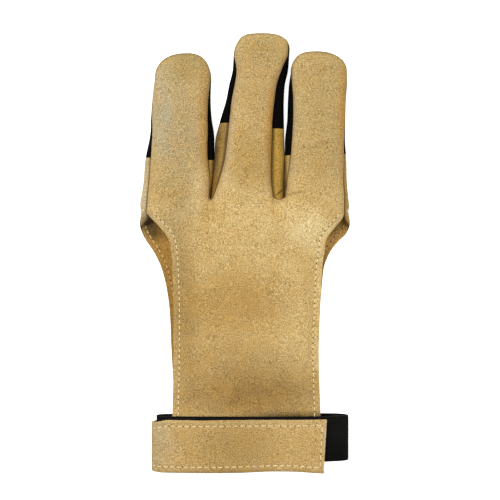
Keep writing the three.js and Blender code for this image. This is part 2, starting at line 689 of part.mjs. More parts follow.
const HOOK_RIGHT = STRAP_FREE_END - 2;
const HOOK_LEFT = HOOK_RIGHT - HOOK_LENGTH;
const hookLift = (x) => (HOOK_TAPE + SEAM_GAP) * smoothstep(HOOK_LEFT - 12, HOOK_LEFT - 1, x);
const strapTop = (x) => overLeaf(x) + ELASTIC + SEAM_GAP + hookLift(x) + STRAP_SUEDE;

// The strap's edges are cut a little unevenly.
const STRAP_WAVES = [
  { at: 0.0, upper: -0.1, lower: -0.2 },
  { at: 0.15, upper: -0.12, lower: 0.45 },
  { at: 0.34, upper: -0.2, lower: 0.0 },
  { at: 0.49, upper: -0.4, lower: -0.1 },
  { at: 0.6, upper: -0.3, lower: -0.05 },
  { at: 0.7, upper: -1.1, lower: 0.0 },
  { at: 0.8, upper: -1.1, lower: 0.2 },
  { at: 1.0, upper: -0.9, lower: 0.2 },
];

function wristStrap() {
  const inner = LOOP_HALF_WIDTH - LOOP_BEND;
  const front = steps(STRAP_FREE_END, -inner, 18).map((x) => [x, strapTop(x)]);
  const end = roundEnd(-1, strapTop(-inner), LOOP_BEND).slice(1, -1);
  const back = steps(-inner, STRAP_BACK_END, 2).map((x) => [x, 0]);
  const path = [...front, ...end, ...back];
  return band(path, -PALM_LENGTH, STRAP_WIDTH - PALM_LENGTH, STRAP_SUEDE, STRAP_WAVES);
}

function elasticBand() {
  const inner = LOOP_HALF_WIDTH - LOOP_BEND;
  const clear = STRAP_SUEDE + SEAM_GAP;
  const leftTop = overLeaf(-inner) + ELASTIC;
  const upperEnd = roundEnd(-1, leftTop, LOOP_BEND - clear, clear, 0.3).slice(1).reverse();
  const front = steps(-inner, inner, 16).map((x) => [x, overLeaf(x) + ELASTIC]);
  const end = roundEnd(1, overLeaf(inner) + ELASTIC, LOOP_BEND).slice(1, -1);
  const back = steps(inner, -inner, 16).map((x) => [x, elasticRise(x)]);
  const lowerEnd = roundEnd(-1, clear, LOOP_BEND - clear, leftTop, 0.42).slice(1);
  const path = [...upperEnd, ...front, ...end, ...back, ...lowerEnd].reverse();
  const lower = ELASTIC_RAISE - PALM_LENGTH;
  return band(path, lower, lower + ELASTIC_WIDTH, ELASTIC);
}

function hookPatch() {
  const lift = ELASTIC + SEAM_GAP + HOOK_TAPE;
  const path = steps(HOOK_RIGHT, HOOK_LEFT, 6).map((x) => [x, overLeaf(x) + lift]);
  const lower = ELASTIC_RAISE - PALM_LENGTH + (ELASTIC_WIDTH - HOOK_WIDTH) / 2;
  return band(path, lower, lower + HOOK_WIDTH, HOOK_TAPE);
}

const MATERIALS = {
  suede: { color: "#c4a76f", roughness: 0.9 },
  stretch: { color: "#14120e", roughness: 0.85 },
  elastic: { color: "#100e0b", roughness: 0.7 },
  hook: { color: "#1b1a18", roughness: 0.8 },
};

const PIECES = [
  { name: "palm_leaf", material: "suede", geometry: palmLeaf() },
  { name: "back_leaf", material: "suede", geometry: backLeaf() },
  { name: "finger_back_ring", material: "stretch", geometry: fingerBack("ring") },
  { name: "finger_back_middle", material: "stretch", geometry: fingerBack("middle") },
  { name: "finger_back_index", material: "stretch", geometry: fingerBack("index") },
  { name: "gusset_ring_middle", material: "suede", geometry: gusset("ring", "middle") },
  { name: "gusset_middle_index", material: "suede", geometry: gusset("middle", "index") },
  { name: "wrist_strap", material: "suede", geometry: wristStrap() },
  { name: "elastic_band", material: "elastic", geometry: elasticBand() },
  { name: "hook_patch", material: "hook", geometry: hookPatch() },
];

// The frame's origin is the middle of the bounding box's underside.
const box = new THREE.Box3();
PIECES.forEach(({ geometry }) => {
  geometry.computeBoundingBox();
  box.union(geometry.boundingBox);
});
const middle = box.getCenter(new THREE.Vector3());

const group = new THREE.Group();
group.name = "archery_glove";
PIECES.forEach(({ name, material, geometry }) => {
  geometry.translate(-middle.x, -middle.y, -box.min.z);
  const mesh = new THREE.Mesh(geometry, new THREE.MeshStandardMaterial(MATERIALS[material]));
  mesh.name = name;
  group.add(mesh);
});

export default group;
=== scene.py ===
# A three-finger archery glove in tan suede, lying on its back with the palm side up.
import math

import bpy
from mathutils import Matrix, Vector, noise
from mathutils.bvhtree import BVHTree


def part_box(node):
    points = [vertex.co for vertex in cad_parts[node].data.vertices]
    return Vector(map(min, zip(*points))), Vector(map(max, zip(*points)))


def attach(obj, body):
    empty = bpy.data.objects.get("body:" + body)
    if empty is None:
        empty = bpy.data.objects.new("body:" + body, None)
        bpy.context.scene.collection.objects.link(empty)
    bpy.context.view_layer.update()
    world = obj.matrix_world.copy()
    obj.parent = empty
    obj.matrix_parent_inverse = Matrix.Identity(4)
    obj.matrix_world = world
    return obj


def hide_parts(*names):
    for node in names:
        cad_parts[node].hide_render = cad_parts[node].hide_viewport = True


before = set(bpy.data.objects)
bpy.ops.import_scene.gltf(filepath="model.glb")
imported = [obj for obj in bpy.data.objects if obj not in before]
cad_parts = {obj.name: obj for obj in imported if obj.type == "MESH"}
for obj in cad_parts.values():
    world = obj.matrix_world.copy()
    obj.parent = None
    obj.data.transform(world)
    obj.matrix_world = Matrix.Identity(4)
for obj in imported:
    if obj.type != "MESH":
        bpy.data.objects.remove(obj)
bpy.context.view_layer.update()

MM = 0.001

# Sheet thicknesses and clearances, in millimetres as in the part's source
SUEDE = 1.4
STRETCH_FABRIC = 1.0
STRAP_SUEDE = 1.8
ELASTIC = 1.2
HOOK_TAPE = 0.9
SEAM_GAP = 0.3

# Main sizes
PALM_LENGTH = 136.6
FINGER_HEIGHT = 17
SEAM_HEIGHT = 9.4
LOW_SEAM_SHARE = 0.66
WIDEST_HEIGHT = 6
SIDE_WALL = 7
FLOOR_RADIUS = 4
PALM_TAB_LEFT = 38.6
PALM_TAB_RIGHT = 35
PALM_HEIGHT = 16
WRIST_HEIGHT = 12.6
PALM_CROWN = 1.8
WEB_DIP = 1.4
SIDE_SEAM_LENGTH = 8
SIDE_OPENING = 10
EDGE_WIDTH = 7
EDGE_CURL = 1
LEAF_END = 5

# Wrist loop
STRAP_WIDTH = 26.4
ELASTIC_WIDTH = 22.5
ELASTIC_RAISE = 5
LOOP_HALF_WIDTH = 49.3
STRAP_FREE_END = 38
STRAP_SLANT = 1.5
STRAP_BACK_END = -36
ELASTIC_CLIMB = 10
LOOP_BEND = 8
HOOK_LENGTH = 15
HOOK_WIDTH = 17
LOOP_INNER = LOOP_HALF_WIDTH - LOOP_BEND
HOOK_RIGHT = STRAP_FREE_END - 2
HOOK_LEFT = HOOK_RIGHT - HOOK_LENGTH
BAND_LOW = ELASTIC_RAISE - PALM_LENGTH

# Stitches and ribs: length, width and height of one, and the distance from one to the next
STITCH = (2.3, 0.55, 0.5)
LONG_STITCH = (3.2, 0.5, 0.45)
NEEDLE_HOLE = (0.95, 0.7, 0.3)
RIB = (0.6, ELASTIC_WIDTH - 0.4, 0.5)
STITCH_PITCH = 2.85
STRAP_PITCH = 3.4
TACK_PITCH = 1.6
RIB_PITCH = 0.76
STITCH_INSET = 2.9
END_INSET = 2.1
STITCH_GROOVE = 0.28
GROOVE_WIDTH = 0.75
BACK_STITCH_END = 0.66 * PALM_LENGTH
TACK_SHARES = (-0.118, -0.105)

# Fingers, seams and edges
MIDDLE_BASE = -3.4
MIDDLE_LEAN = 9.1
SPREAD_LEFT = 12
SPREAD_RIGHT = 2
CROWN_POWER = 2.4
POLE_SHARE = 0.45
SWING_PEAK = 27 / 4
PAST_SEAM = 1e-6
WIDEST_SHARE = 0.55
WRIST_CROWN = 0.6
WALL_DEPTH = 9
LOW_SEAM_GAP = 0.04
EDGE_ROUND = 0.22
EDGE_ANGLE = math.radians(55)

# Shares of the palm's length over which a form dies away or sets in below the crotch line
WEB_FADE = (0, 0.2)
WRIST_FADE = (0.62, 0.755)
STRAP_LIFT = (0.69, 0.745)
LOOP_AT = 0.88

# Distance in which the webs' hollows flatten on the back, the share of its turning over from
# which an edge is a hem, and how quickly the wrist loop falls beyond the leaf
FLOOR_FADE = 1.6
HEM_OPENED = 0.9
LOOP_FALL = 0.035

# The palm leaf's change from the fingers' form to the palm's, in millimetres below the crotch
# line: at the outer walls, and between them as a quick part, which follows FLOOR_FADE, and a slow
OUTER_FADE = (SIDE_SEAM_LENGTH - 1, SIDE_SEAM_LENGTH + 13)
QUICK_PART = 0.7
SLOW_FADE = 8
SLOW_POWER = 1.5

# Slow unevenness of the skins: height, distance between hills and seed. It is calm at edges
CALM_WIDTH = 4.0
LEAF_HILLS = ((0.16, 9.0, 1), (0.09, 3.6, 2))
STRAP_HILLS = ((0.12, 8.0, 5), (0.07, 3.2, 6))


def table(columns, *rows):
    """Rows of a table with named columns, as dictionaries."""
    names = columns.split()
    return [dict(zip(names, row)) for row in rows]


FINGER_COLUMNS = "at leaf left right height"
FINGERS = {
    "ring": dict(
        reach=72, leaf_width=28, dome=13.5, roundness=2.3, tip_lean=1.7, tip_swing=0,
        stretch_left=0.34, stretch_right=0.32,
        rows=table(
            FINGER_COLUMNS,
            (0.0, 1.08, 0.55, 0.1, 0.97),
            (0.145, 1.066, 0.49, 0.18, 1.0),
            (0.316, 1.01, 0.46, 0.46, 0.98),
            (0.487, 0.987, 0.25, 0.48, 0.97),
            (0.658, 0.987, 0.13, 0.3, 0.96),
            (0.83, 0.99, 0.06, 0.16, 0.95),
            (1.0, 1.0, 0.02, 0.02, 0.93),
        ),
    ),
    "middle": dict(
        reach=81.8, leaf_width=22, dome=11.5, roundness=3.1, tip_lean=0, tip_swing=0.8,
        stretch_left=0.53, stretch_right=0.49,
        rows=table(
            FINGER_COLUMNS,
            (0.0, 1.35, 0.19, 0.8, 0.97),
            (0.12, 1.17, 0.5, 0.95, 1.0),
            (0.264, 1.045, 0.75, 1.0, 1.0),
            (0.407, 1.0, 0.89, 0.92, 0.99),
            (0.55, 0.97, 0.69, 0.83, 0.97),
            (0.693, 0.966, 0.43, 0.68, 0.96),
            (0.807, 0.95, 0.43, 0.59, 0.96),
            (0.907, 1.03, 0.29, 0.46, 0.95),
            (1.0, 1.22, 0.05, 0.12, 0.93),
        ),
    ),
    "index": dict(
        reach=73, leaf_width=26, dome=11, roundness=2.3, tip_lean=-2, tip_swing=0,
        stretch_left=0.34, stretch_right=0.35,
        rows=table(
            FINGER_COLUMNS,
            (0.0, 1.115, 0.07, 0.34, 0.97),
            (0.137, 1.067, 0.21, 0.31, 1.0),
            (0.298, 1.023, 0.37, 0.23, 0.98),
            (0.46, 0.994, 0.49, 0.13, 0.97),
            (0.62, 0.992, 0.41, 0.07, 0.96),
            (0.782, 1.004, 0.36, 0.06, 0.95),
            (0.911, 1.05, 0.2, 0.06, 0.94),
            (1.0, 1.067, 0.03, 0.03, 0.93),
        ),
    ),
}
FINGER_NAMES = ("ring", "middle", "index")

SPREAD_ROWS = table(
    "at lean left right",
    (0.0, 0.0, 0.03, 0.2),
    (0.104, 0.11, 0.012, 0.07),
    (0.226, 0.26, 0.012, 0.07),
    (0.34, 0.345, 0.025, 0.12),
    (0.4, 0.385, 0.13, 0.42),
    (0.471, 0.43, 0.34, 0.82),
    (0.593, 0.55, 0.64, 1.0),
    (0.691, 0.7, 0.755, 1.0),
    (0.777, 0.875, 0.85, 0.75),
    (1.0, 1.11, 0.95, 0.6),
)

EDGE_ROWS = table(
    "at palm_left palm_right back_left back_right",
    (0.0, 1.0, 1.0, 1.0, 1.0),
    (0.029, 1.02, 1.0, 1.03, 1.03),
    (0.056, 1.05, 1.0, 1.0, 1.01),
    (0.078, 0.87, 0.93, 1.03, 1.05),
    (0.104, 0.58, 0.69, 1.06, 1.07),
    (0.137, 0.26, 0.36, 0.97, 0.93),
    (0.162, 0.12, 0.2, 0.85, 0.68),
    (0.198, 0.04, 0.16, 0.64, 0.41),
    (0.25, 0.0, 0.08, 0.42, 0.19),
    (0.32, -0.03, 0.03, 0.25, 0.1),
    (0.42, -0.05, -0.02, 0.13, 0.03),
    (0.55, -0.05, -0.07, 0.08, -0.02),
    (0.68, -0.03, -0.04, 0.02, -0.02),
    (0.78, 0.0, 0.0, 0.0, 0.0),
    (0.88, 0.0, 0.0, 0.0, 0.0),
    (1.0, 0.0, 0.0, 0.0, 0.0),
)

PALM_PROFILE = table(
    "at height",
    (0.0, 1.0),
    (0.12, 0.86),
    (0.3, 0.56),
    (0.55, 0.5),
    (0.68, 0.22),
    (0.755, 0.0),
    (1.0, 0.0),
)

FOLDS = table(
    "across along long wide turn depth",
    (-0.54, 0.04, 0.075, 0.024, 0.35, 0.85),
    (0.4, 0.03, 0.05, 0.03, -0.2, 0.45),
    (-0.62, 0.34, 0.1, 0.2, 0.3, 0.7),
    (0.05, 0.42, 0.05, 0.14, -0.35, 0.35),
    (0.85, 0.12, 0.08, 0.11, -0.6, -0.5),
    (-0.1, 0.14, 0.05, 0.16, 0.1, -0.3),
    (-0.9, -0.1, 0.12, 0.034, 0.25, 0.45),
    (-0.66, -0.05, 0.1, 0.022, 0.2, -0.4),
    (0.64, -0.024, 0.06, 0.012, -1.11, 0.4),
)

STRAP_WAVES = table(
    "at upper lower",
    (0.0, -0.1, -0.2),
    (0.15, -0.12, 0.45),
    (0.34, -0.2, 0.0),
    (0.49, -0.4, -0.1),
    (0.6, -0.3, -0.05),
    (0.7, -1.1, 0.0),
    (0.8, -1.1, 0.2),
    (1.0, -0.9, 0.2),
)

# How finely the sheets are divided. The part's source uses a coarser division
LEAF_COLUMNS = 28
LEAF_ROWS = 44
WALL_STEPS = 9
FLOOR_STEPS = 6
DOME_ROWS = 15
CAP_ROW = 3
CAP_START = 1 + CAP_ROW / DOME_ROWS
GAP_COLUMNS = 6
PALM_ROWS = 96
ROW_GROWTH = 1.35
SIDE_ROWS = 24
OUTER_WALL_STEPS = 16
LOW_WALL_STEPS = 5
LOOP_STEPS = 110
STRAP_FRONT_SHARE = 0.6


def lerp(a, b, share):
    return a + (b - a) * share


def steps(start, end, count):
    return [lerp(start, end, i / count) for i in range(count + 1)]


def clamp(value):
    return min(1.0, max(0.0, value))


def smoothstep(low, high, value):
    share = clamp((value - low) / (high - low))
    return share * share * (3 - 2 * share)


def through(rows, column, at):
    """A smooth curve through one column of a table."""
    last = len(rows) - 1
    if at <= rows[0]["at"]:
        return rows[0][column]
    if at >= rows[last]["at"]:
        return rows[last][column]
    i = 0
    while rows[i + 1]["at"] < at:
        i += 1
    span = rows[i + 1]["at"] - rows[i]["at"]
    share = (at - rows[i]["at"]) / span

    def slope(k):
        before, after = rows[max(k - 1, 0)], rows[min(k + 1, last)]
        return (after[column] - before[column]) / (after["at"] - before["at"]) * span

    s2 = share * share
    s3 = s2 * share
    return (
        rows[i][column] * (2 * s3 - 3 * s2 + 1)
        + slope(i) * (s3 - 2 * s2 + share)
        + rows[i + 1][column] * (3 * s2 - 2 * s3)
        + slope(i + 1) * (s3 - s2)
    )


def straight_length(name):
    """A finger's length from the crotch line to the foot of its dome."""
    return FINGERS[name]["reach"] - FINGERS[name]["dome"]


def widths_at(name, y):
    """A finger's leaf width, its two sides' widths and its height at y."""
    at = y / straight_length(name)
    full = (FINGERS[name]["leaf_width"], SIDE_WALL, SIDE_WALL, FINGER_HEIGHT)
    columns = ("leaf", "left", "right", "height")
    rows = FINGERS[name]["rows"]
    return [size * through(rows, column, at) for size, column in zip(full, columns)]


def section_at(name, y):
    """Where a finger's seams and sides stand at a height y above the crotch line."""
    along = y / FINGERS["middle"]["reach"]
    leaf, left, right, height = widths_at("middle", y)
    centre = MIDDLE_BASE + MIDDLE_LEAN * through(SPREAD_ROWS, "lean", along)
    seam_left, seam_right = centre - leaf / 2, centre + leaf / 2
    side_left, side_right = seam_left - left, seam_right + right
    if name != "middle":
        leaf, left, right, height = widths_at(name, y)
    if name == "ring":
        side_right = side_left - SPREAD_LEFT * through(SPREAD_ROWS, "left", along)
        seam_right = side_right - right
        seam_left = seam_right - leaf
        side_left = seam_left - left
    elif name == "index":
        side_left = side_right + SPREAD_RIGHT * through(SPREAD_ROWS, "right", along)
        seam_left = side_left + left
        seam_right = seam_left + leaf
        side_right = seam_right + right
    return seam_left, seam_right, side_left, side_right, height


def wall(edge_x, edge_z, side_x, share):
    """A side wall, from its upper edge out to the widest place and down to the floor."""
    outwards = -1 if side_x < edge_x else 1
    widest = min(WIDEST_HEIGHT, edge_z * WIDEST_SHARE)
    radius = FLOOR_RADIUS * widest / WIDEST_HEIGHT
    if share < 0.5:
        angle = math.pi * share
        return (
            edge_x + (side_x - edge_x) * math.sin(angle),
            widest + (edge_z - widest) * math.cos(angle),
        )
    angle = math.pi * (share - 0.5)
    return side_x - outwards * radius * (1 - math.cos(angle)), widest * (1 - math.sin(angle))


def finger_point(name, along, around):
    """A point on a finger: along 0 at the base, 1 at the foot of the dome and 2 at the tip;
    around 0 to 1 over the front leaf, to 2 down the right wall, to 3 over the floor, to 4 up
    the left wall."""
    finger = FINGERS[name]
    straight = straight_length(name)
    angle = math.pi / 2 * max(0, along - 1)
    power = 2 / finger["roundness"]
    climb = math.sin(angle) ** power
    y = straight * min(along, 1) + finger["dome"] * climb
    seam_left, seam_right, side_left, side_right, height = section_at(name, min(y, straight))
    middle = (seam_left + seam_right) / 2
    if around <= 1:
        turn = math.pi * around
        cosine = math.cos(turn)
        across = -math.copysign(abs(cosine) ** (2 / CROWN_POWER), cosine)
        rise = max(0.0, math.sin(turn)) ** (2 / CROWN_POWER)
        x = middle + (seam_right - seam_left) / 2 * across
        top = height - fold_depth(x, -y)
        z = SEAM_HEIGHT + SEAM_GAP + (top - SEAM_HEIGHT - SEAM_GAP) * rise
    elif around <= 2:
        x, z = wall(seam_right, SEAM_HEIGHT, side_right, around - 1)
    elif around <= 3:
        right = wall(seam_right, SEAM_HEIGHT, side_right, 1)[0]
        left = wall(seam_left, SEAM_HEIGHT, side_left, 1)[0]
        x, z = lerp(right, left, around - 2), 0.0
    else:
        x, z = wall(seam_left, SEAM_HEIGHT, side_left, 4 - around)
    if along > 1:
        shrink = max(0.0, math.cos(angle)) ** power
        pole = height * POLE_SHARE
        swing = finger["tip_swing"] * SWING_PEAK * climb ** 2 * (1 - climb)
        x = middle + finger["tip_lean"] * climb ** 3 + swing + (x - middle) * shrink
        z = pole + (z - pole) * shrink
    return Vector((x, y, z))


def stretch_end(name, around):
    """Where the stretch fabric begins, as a share of the finger, at a place around it."""
    finger = FINGERS[name]
    return lerp(finger["stretch_right"], finger["stretch_left"], clamp(around - 2))


def along_gap(name):
    return SEAM_GAP / straight_length(name)


def cap_gap(name):
    return SEAM_GAP / (1.5 * FINGERS[name]["dome"])


def leaf_edges(leaf, distance):
    """The left and the right edge of a leaf at a distance below the crotch line."""
    at = distance / PALM_LENGTH
    first = 0 if leaf == "palm" else 2
    left, right = section_at("ring", 0)[first], section_at("index", 0)[first + 1]
    return (
        lerp(-PALM_TAB_LEFT, left, through(EDGE_ROWS, leaf + "_left", at)),
        lerp(PALM_TAB_RIGHT, right, through(EDGE_ROWS, leaf + "_right", at)),
    )


def fold_depth(x, distance):
    total = 0.0
    for fold in FOLDS:
        dx = x - fold["across"] * PALM_TAB_LEFT
        dy = distance - fold["along"] * PALM_LENGTH
        lengthwise = dy * math.cos(fold["turn"]) + dx * math.sin(fold["turn"])
        crosswise = dx * math.cos(fold["turn"]) - dy * math.sin(fold["turn"])
        reach = (lengthwise / (fold["long"] * PALM_LENGTH)) ** 2
        reach += (crosswise / (fold["wide"] * PALM_LENGTH)) ** 2
        total += fold["depth"] * PALM_CROWN * math.exp(-reach)
    return total


def palm_top(x, distance):
    """Top of the palm leaf, before the drop towards the seams."""
    at = distance / PALM_LENGTH
    left, right = leaf_edges("palm", distance)
    across = 2 * (x - left) / (right - left) - 1
    middle = lerp(WRIST_HEIGHT, PALM_HEIGHT, through(PALM_PROFILE, "height", at))
    fade = 1 - smoothstep(*WRIST_FADE, at)
    return (
        middle
        - PALM_CROWN * across * across * lerp(WRIST_CROWN, 1, fade)
        - fold_depth(x, distance) * fade
    )


def inner_fade(distance):
    """How much of the crotch line's form is left: a quick and a slow part."""
    slow = math.exp(-((distance / SLOW_FADE) ** SLOW_POWER))
    return lerp(slow, math.exp(-distance / FLOOR_FADE), QUICK_PART)


def outer_fade(distance):
    return 1 - smoothstep(*OUTER_FADE, distance)


# The model is built about the crotch line. The frame's origin is under the middle of its box.
SHIFT = Vector((
    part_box("wrist_strap")[0].x / MM + LOOP_HALF_WIDTH,
    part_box("palm_leaf")[1].y / MM - FINGERS["middle"]["reach"],
    0,
))


def linked(name, data):
    """A new object at the origin, linked into the scene."""
    obj = bpy.data.objects.new(name, data)
    bpy.context.scene.collection.objects.link(obj)
    return obj


def relief(point, hills):
    """Slow unevenness of a skin in millimetres, from rows of height, scale and seed."""
    return sum(
        height * noise.noise((point + Vector((seed * 37.1, seed * 17.3, 0))) / scale)
        for height, scale, seed in hills
    )


def web(start, end):
    """The points between two fingers, which dip between the two ends."""
    points = []
    for share in steps(0, 1, GAP_COLUMNS)[1:-1]:
        point = start.lerp(end, share)
        point.y -= WEB_DIP * math.sin(math.pi * share)
        points.append(point)
    return points


class Sheet:
    """A surface as points and faces, thickened inwards into one closed solid."""

    def __init__(self):
        self.points = []
        self.faces = []
        self.map = []

    def add(self, point, place=(0.0, 0.0)):
        self.points.append(Vector(point))
        self.map.append(place)
        return len(self.points) - 1

    def grid(self, rows):
        for low, high in zip(rows, rows[1:]):
            for c in range(len(low) - 1):
                ring = [low[c], low[c + 1], high[c + 1], high[c]]
                ring = [v for i, v in enumerate(ring) if v != ring[i - 1]]
                if len(ring) > 2:
                    self.faces.append(ring)

    def normals(self):
        found = [Vector() for _ in self.points]
        for face in self.faces:
            p = [self.points[v] for v in face]
            normal = (p[2] - p[0]).cross((p[3] if len(p) > 3 else p[0]) - p[1])
            if len(p) == 3:
                normal = (p[1] - p[0]).cross(p[2] - p[0])
            for v in face:
                found[v] += normal
        return [n.normalized() for n in found]

    def solid(self, name, thickness, bump=None):
        """One closed mesh object in metres; bump(point, place) lifts the outer face in mm."""
        normals = self.normals()
        if bump:
            self.points = [
                p + n * bump(p, m) for p, n, m in zip(self.points, normals, self.map)
            ]
            normals = self.normals()
        count = len(self.points)
        inner = [p - n * thickness for p, n in zip(self.points, normals)]
        edges = {(f[i - 1], f[i]) for f in self.faces for i in range(len(f))}
        faces = list(self.faces) + [[v + count for v in reversed(f)] for f in self.faces]
        for a, b in edges:
            if (b, a) not in edges:
                faces.append([b, a, a + count, b + count])
        mesh = bpy.data.meshes.new(name)
        places = [(p + SHIFT) * MM for p in self.points + inner]
        mesh.from_pydata(places, [], faces)
        layer = mesh.uv_layers.new(name="run")
        both = self.map + self.map
        for loop in mesh.loops:
            layer.data[loop.index].uv = both[loop.vertex_index]
        inside = mesh.attributes.new("inside", "FLOAT", "POINT")
        inside.data.foreach_set("value", [0.0] * count + [1.0] * count)
        mesh.validate()
        return linked(name, mesh)


def leaf_columns():
    """The palm leaf's columns at the crotch line, from left to right."""
    columns = []
    for f, name in enumerate(FINGER_NAMES):
        for share in steps(0, 1, LEAF_COLUMNS):
            outer = (f == 0 and share <= 0.5) or (f == 2 and share >= 0.5)
            columns.append((finger_point(name, 0, share), outer))
        if f == 2:
            break
        start, end = finger_point(name, 0, 1), finger_point(FINGER_NAMES[f + 1], 0, 0)
        columns += [(point, False) for point in web(start, end)]
    return columns


def palm_stations(length):
    return [share ** ROW_GROWTH * length / PALM_LENGTH for share in steps(0, 1, PALM_ROWS)[1:]]


def palm_point(column, outer, at):
    left, right = leaf_edges("palm", 0)
    distance = at * PALM_LENGTH
    edge_left, edge_right = leaf_edges("palm", distance)
    x = lerp(edge_left, edge_right, (column.x - left) / (right - left))
    fade = outer_fade(distance) if outer else inner_fade(distance)
    y = -distance + column.y * (1 - smoothstep(*WEB_FADE, at))
    return Vector((x, y, lerp(palm_top(x, distance), column.z, fade)))


def groove(distance):
    return -STITCH_GROOVE * math.exp(-(((distance - STITCH_INSET) / GROOVE_WIDTH) ** 2))


def skin(point, place):
    """The suede's slow unevenness, flatter towards the sewn edges."""
    calm = smoothstep(0.0, CALM_WIDTH, place[1] - (0 if place[0] else 2))
    return calm * relief(point, LEAF_HILLS) + (groove(place[1]) if place[0] > 0 else 0.0)


def palm_leaf():
    sheet = Sheet()
    columns = leaf_columns()
    crotch = [sheet.add(p, (0, 4)) for p, _ in columns]
    rows = []
    for at in palm_stations(PALM_LENGTH - LEAF_END):
        points = [palm_point(p, outer, at) for p, outer in columns]
        stitched = 1 if at * PALM_LENGTH > SIDE_SEAM_LENGTH else 0
        row = []
        for p in points:
            inset = min(p.x - points[0].x, points[-1].x - p.x) + 0.01
            row.append(sheet.add(p, (stitched, inset if stitched else max(2, inset))))
        rows.append(row)
    sheet.grid(rows[::-1] + [crotch])
    for f, name in enumerate(FINGER_NAMES):
        first = f * (LEAF_COLUMNS + GAP_COLUMNS)
        shares = steps(0, 1, LEAF_COLUMNS)
        dome = steps(1, 2, DOME_ROWS)[1:-1]
        width = FINGERS[name]["leaf_width"] / 2

        def front(along):
            return [
                sheet.add(finger_point(name, along, s), (0, 2 + width * math.sin(math.pi * s)))
                for s in shares
            ]

        finger_rows = [crotch[first:first + LEAF_COLUMNS + 1]]
        finger_rows += [front(a) for a in steps(0, 1, LEAF_ROWS)[1:] + dome]
        pole = sheet.add(finger_point(name, 2, 0.5), (0, 4))
        finger_rows.append([pole] * (LEAF_COLUMNS + 1))
        sheet.grid(finger_rows)
        arounds = back_stretch()
        cap_rows = []
        for i, along in enumerate(dome[CAP_ROW - 1:]):
            row = finger_rows[LEAF_ROWS + CAP_ROW + i]
            back = [sheet.add(finger_point(name, along, a), (0, 4)) for a in arounds[1:-1]]
            cap_rows.append([row[-1]] + back + [row[0]])
        cap_rows.append([pole] * len(arounds))
        sheet.grid(cap_rows)
    return sheet.solid("suede_palm", SUEDE, skin)


def back_stretch(wall_steps=WALL_STEPS):
    return (
        steps(1 + PAST_SEAM, 2, wall_steps)
        + steps(2, 3, FLOOR_STEPS)[1:-1]
        + steps(3, 4, wall_steps)
    )


def finger_back(name):
    sheet = Sheet()
    arounds = back_stretch(WALL_STEPS + 5)
    rows = []
    for share in steps(0, 1, LEAF_ROWS):
        rows.append([
            sheet.add(finger_point(name, lerp(stretch_end(name, around), 1, share), around))
            for around in arounds
        ])
    for along in steps(1, CAP_START - cap_gap(name), 4)[1:]:
        rows.append([sheet.add(finger_point(name, along, around)) for around in arounds])
    sheet.grid(rows)
    return sheet.solid("stretch_back_" + name, STRETCH_FABRIC)


def gusset(left_name, right_name):
    sheet = Sheet()
    shares = steps(0, LOW_SEAM_SHARE - LOW_SEAM_GAP, 16)
    left_end = FINGERS[left_name]["stretch_right"] - along_gap(left_name)
    right_end = FINGERS[right_name]["stretch_left"] - along_gap(right_name)
    columns = [
        [finger_point(left_name, along, 1 + PAST_SEAM + s) for s in shares]
        for along in steps(left_end, 0, SIDE_ROWS)
    ]
    webs = [
        web(finger_point(left_name, 0, 1 + PAST_SEAM + s), finger_point(right_name, 0, 4 - s))
        for s in shares
    ]
    for t, column in zip(steps(0, 1, GAP_COLUMNS)[1:-1], zip(*webs)):
        for point, s in zip(column, shares):
            point.z -= 2 * SEAM_GAP * math.sin(math.pi * t) * (1 - s)
        columns.append(column)
    columns += [
        [finger_point(right_name, along, 4 - s) for s in shares]
        for along in steps(0, right_end, SIDE_ROWS)
    ]
    sheet.grid([
        [sheet.add(p, (0, WALL_DEPTH * s)) for p, s in zip(column, shares)]
        for column in columns[::-1]
    ])
    return sheet.solid("suede_gusset_" + left_name + "_" + right_name, SUEDE)


def elastic_rise(x):
    """Height of the elastic's back run, which climbs onto the strap's back end at the left."""
    start = STRAP_BACK_END + 1
    return (STRAP_SUEDE + SEAM_GAP) * (1 - smoothstep(start, start + ELASTIC_CLIMB, x))


def unfolding_wall(edge_x, side_x, outwards, share, opened):
    """A point between the upright wall and the flat free edge."""
    x, z = wall(edge_x, SEAM_HEIGHT, side_x + outwards * SEAM_GAP * 0.1, share)
    flat_x = side_x - outwards * EDGE_WIDTH * share
    return lerp(x, flat_x, opened), lerp(z, EDGE_CURL * (1 - share) ** 2, opened)


def open_wall(edge_x, side_x, outwards, share, opened):
    """An outer wall of the back leaf, which lies down flat where the side seam ends. It is
    moved outwards there, so that the outline has no dent while the wall turns over."""
    x, z = unfolding_wall(edge_x, side_x, outwards, share, opened)
    if 0 < opened < 1:
        row = [unfolding_wall(edge_x, side_x, outwards, s, opened)[0] for s in steps(0, 1, 20)]
        x += outwards * (outwards * side_x - max(outwards * along for along in row))
    return x, z


def seam_depth(around):
    """About how far down its wall a point of the back leaf lies below the seam."""
    return WALL_DEPTH * (1 if around is None else min(1, around - 1, 4 - around))


def back_columns():
    """The back leaf's columns at the crotch line, each with its finger and place around it."""
    low = LOW_SEAM_SHARE + LOW_SEAM_GAP
    columns = []
    for f, name in enumerate(FINGER_NAMES):
        left_wall = steps(low, 1, LOW_WALL_STEPS) if f > 0 else steps(0, 1, OUTER_WALL_STEPS)
        right_wall = steps(1, low, LOW_WALL_STEPS) if f < 2 else steps(1, 0, OUTER_WALL_STEPS)
        arounds = [4 - s for s in left_wall]
        arounds += steps(3, 2, FLOOR_STEPS + 8)[1:-1]
        arounds += [1 + PAST_SEAM + s for s in right_wall]
        columns += [(name, around, finger_point(name, 0, around)) for around in arounds]
        if f < 2:
            start = finger_point(name, 0, 1 + low)
            end = finger_point(FINGER_NAMES[f + 1], 0, 4 - low)
            columns += [(None, None, point) for point in web(start, end)]
    return columns


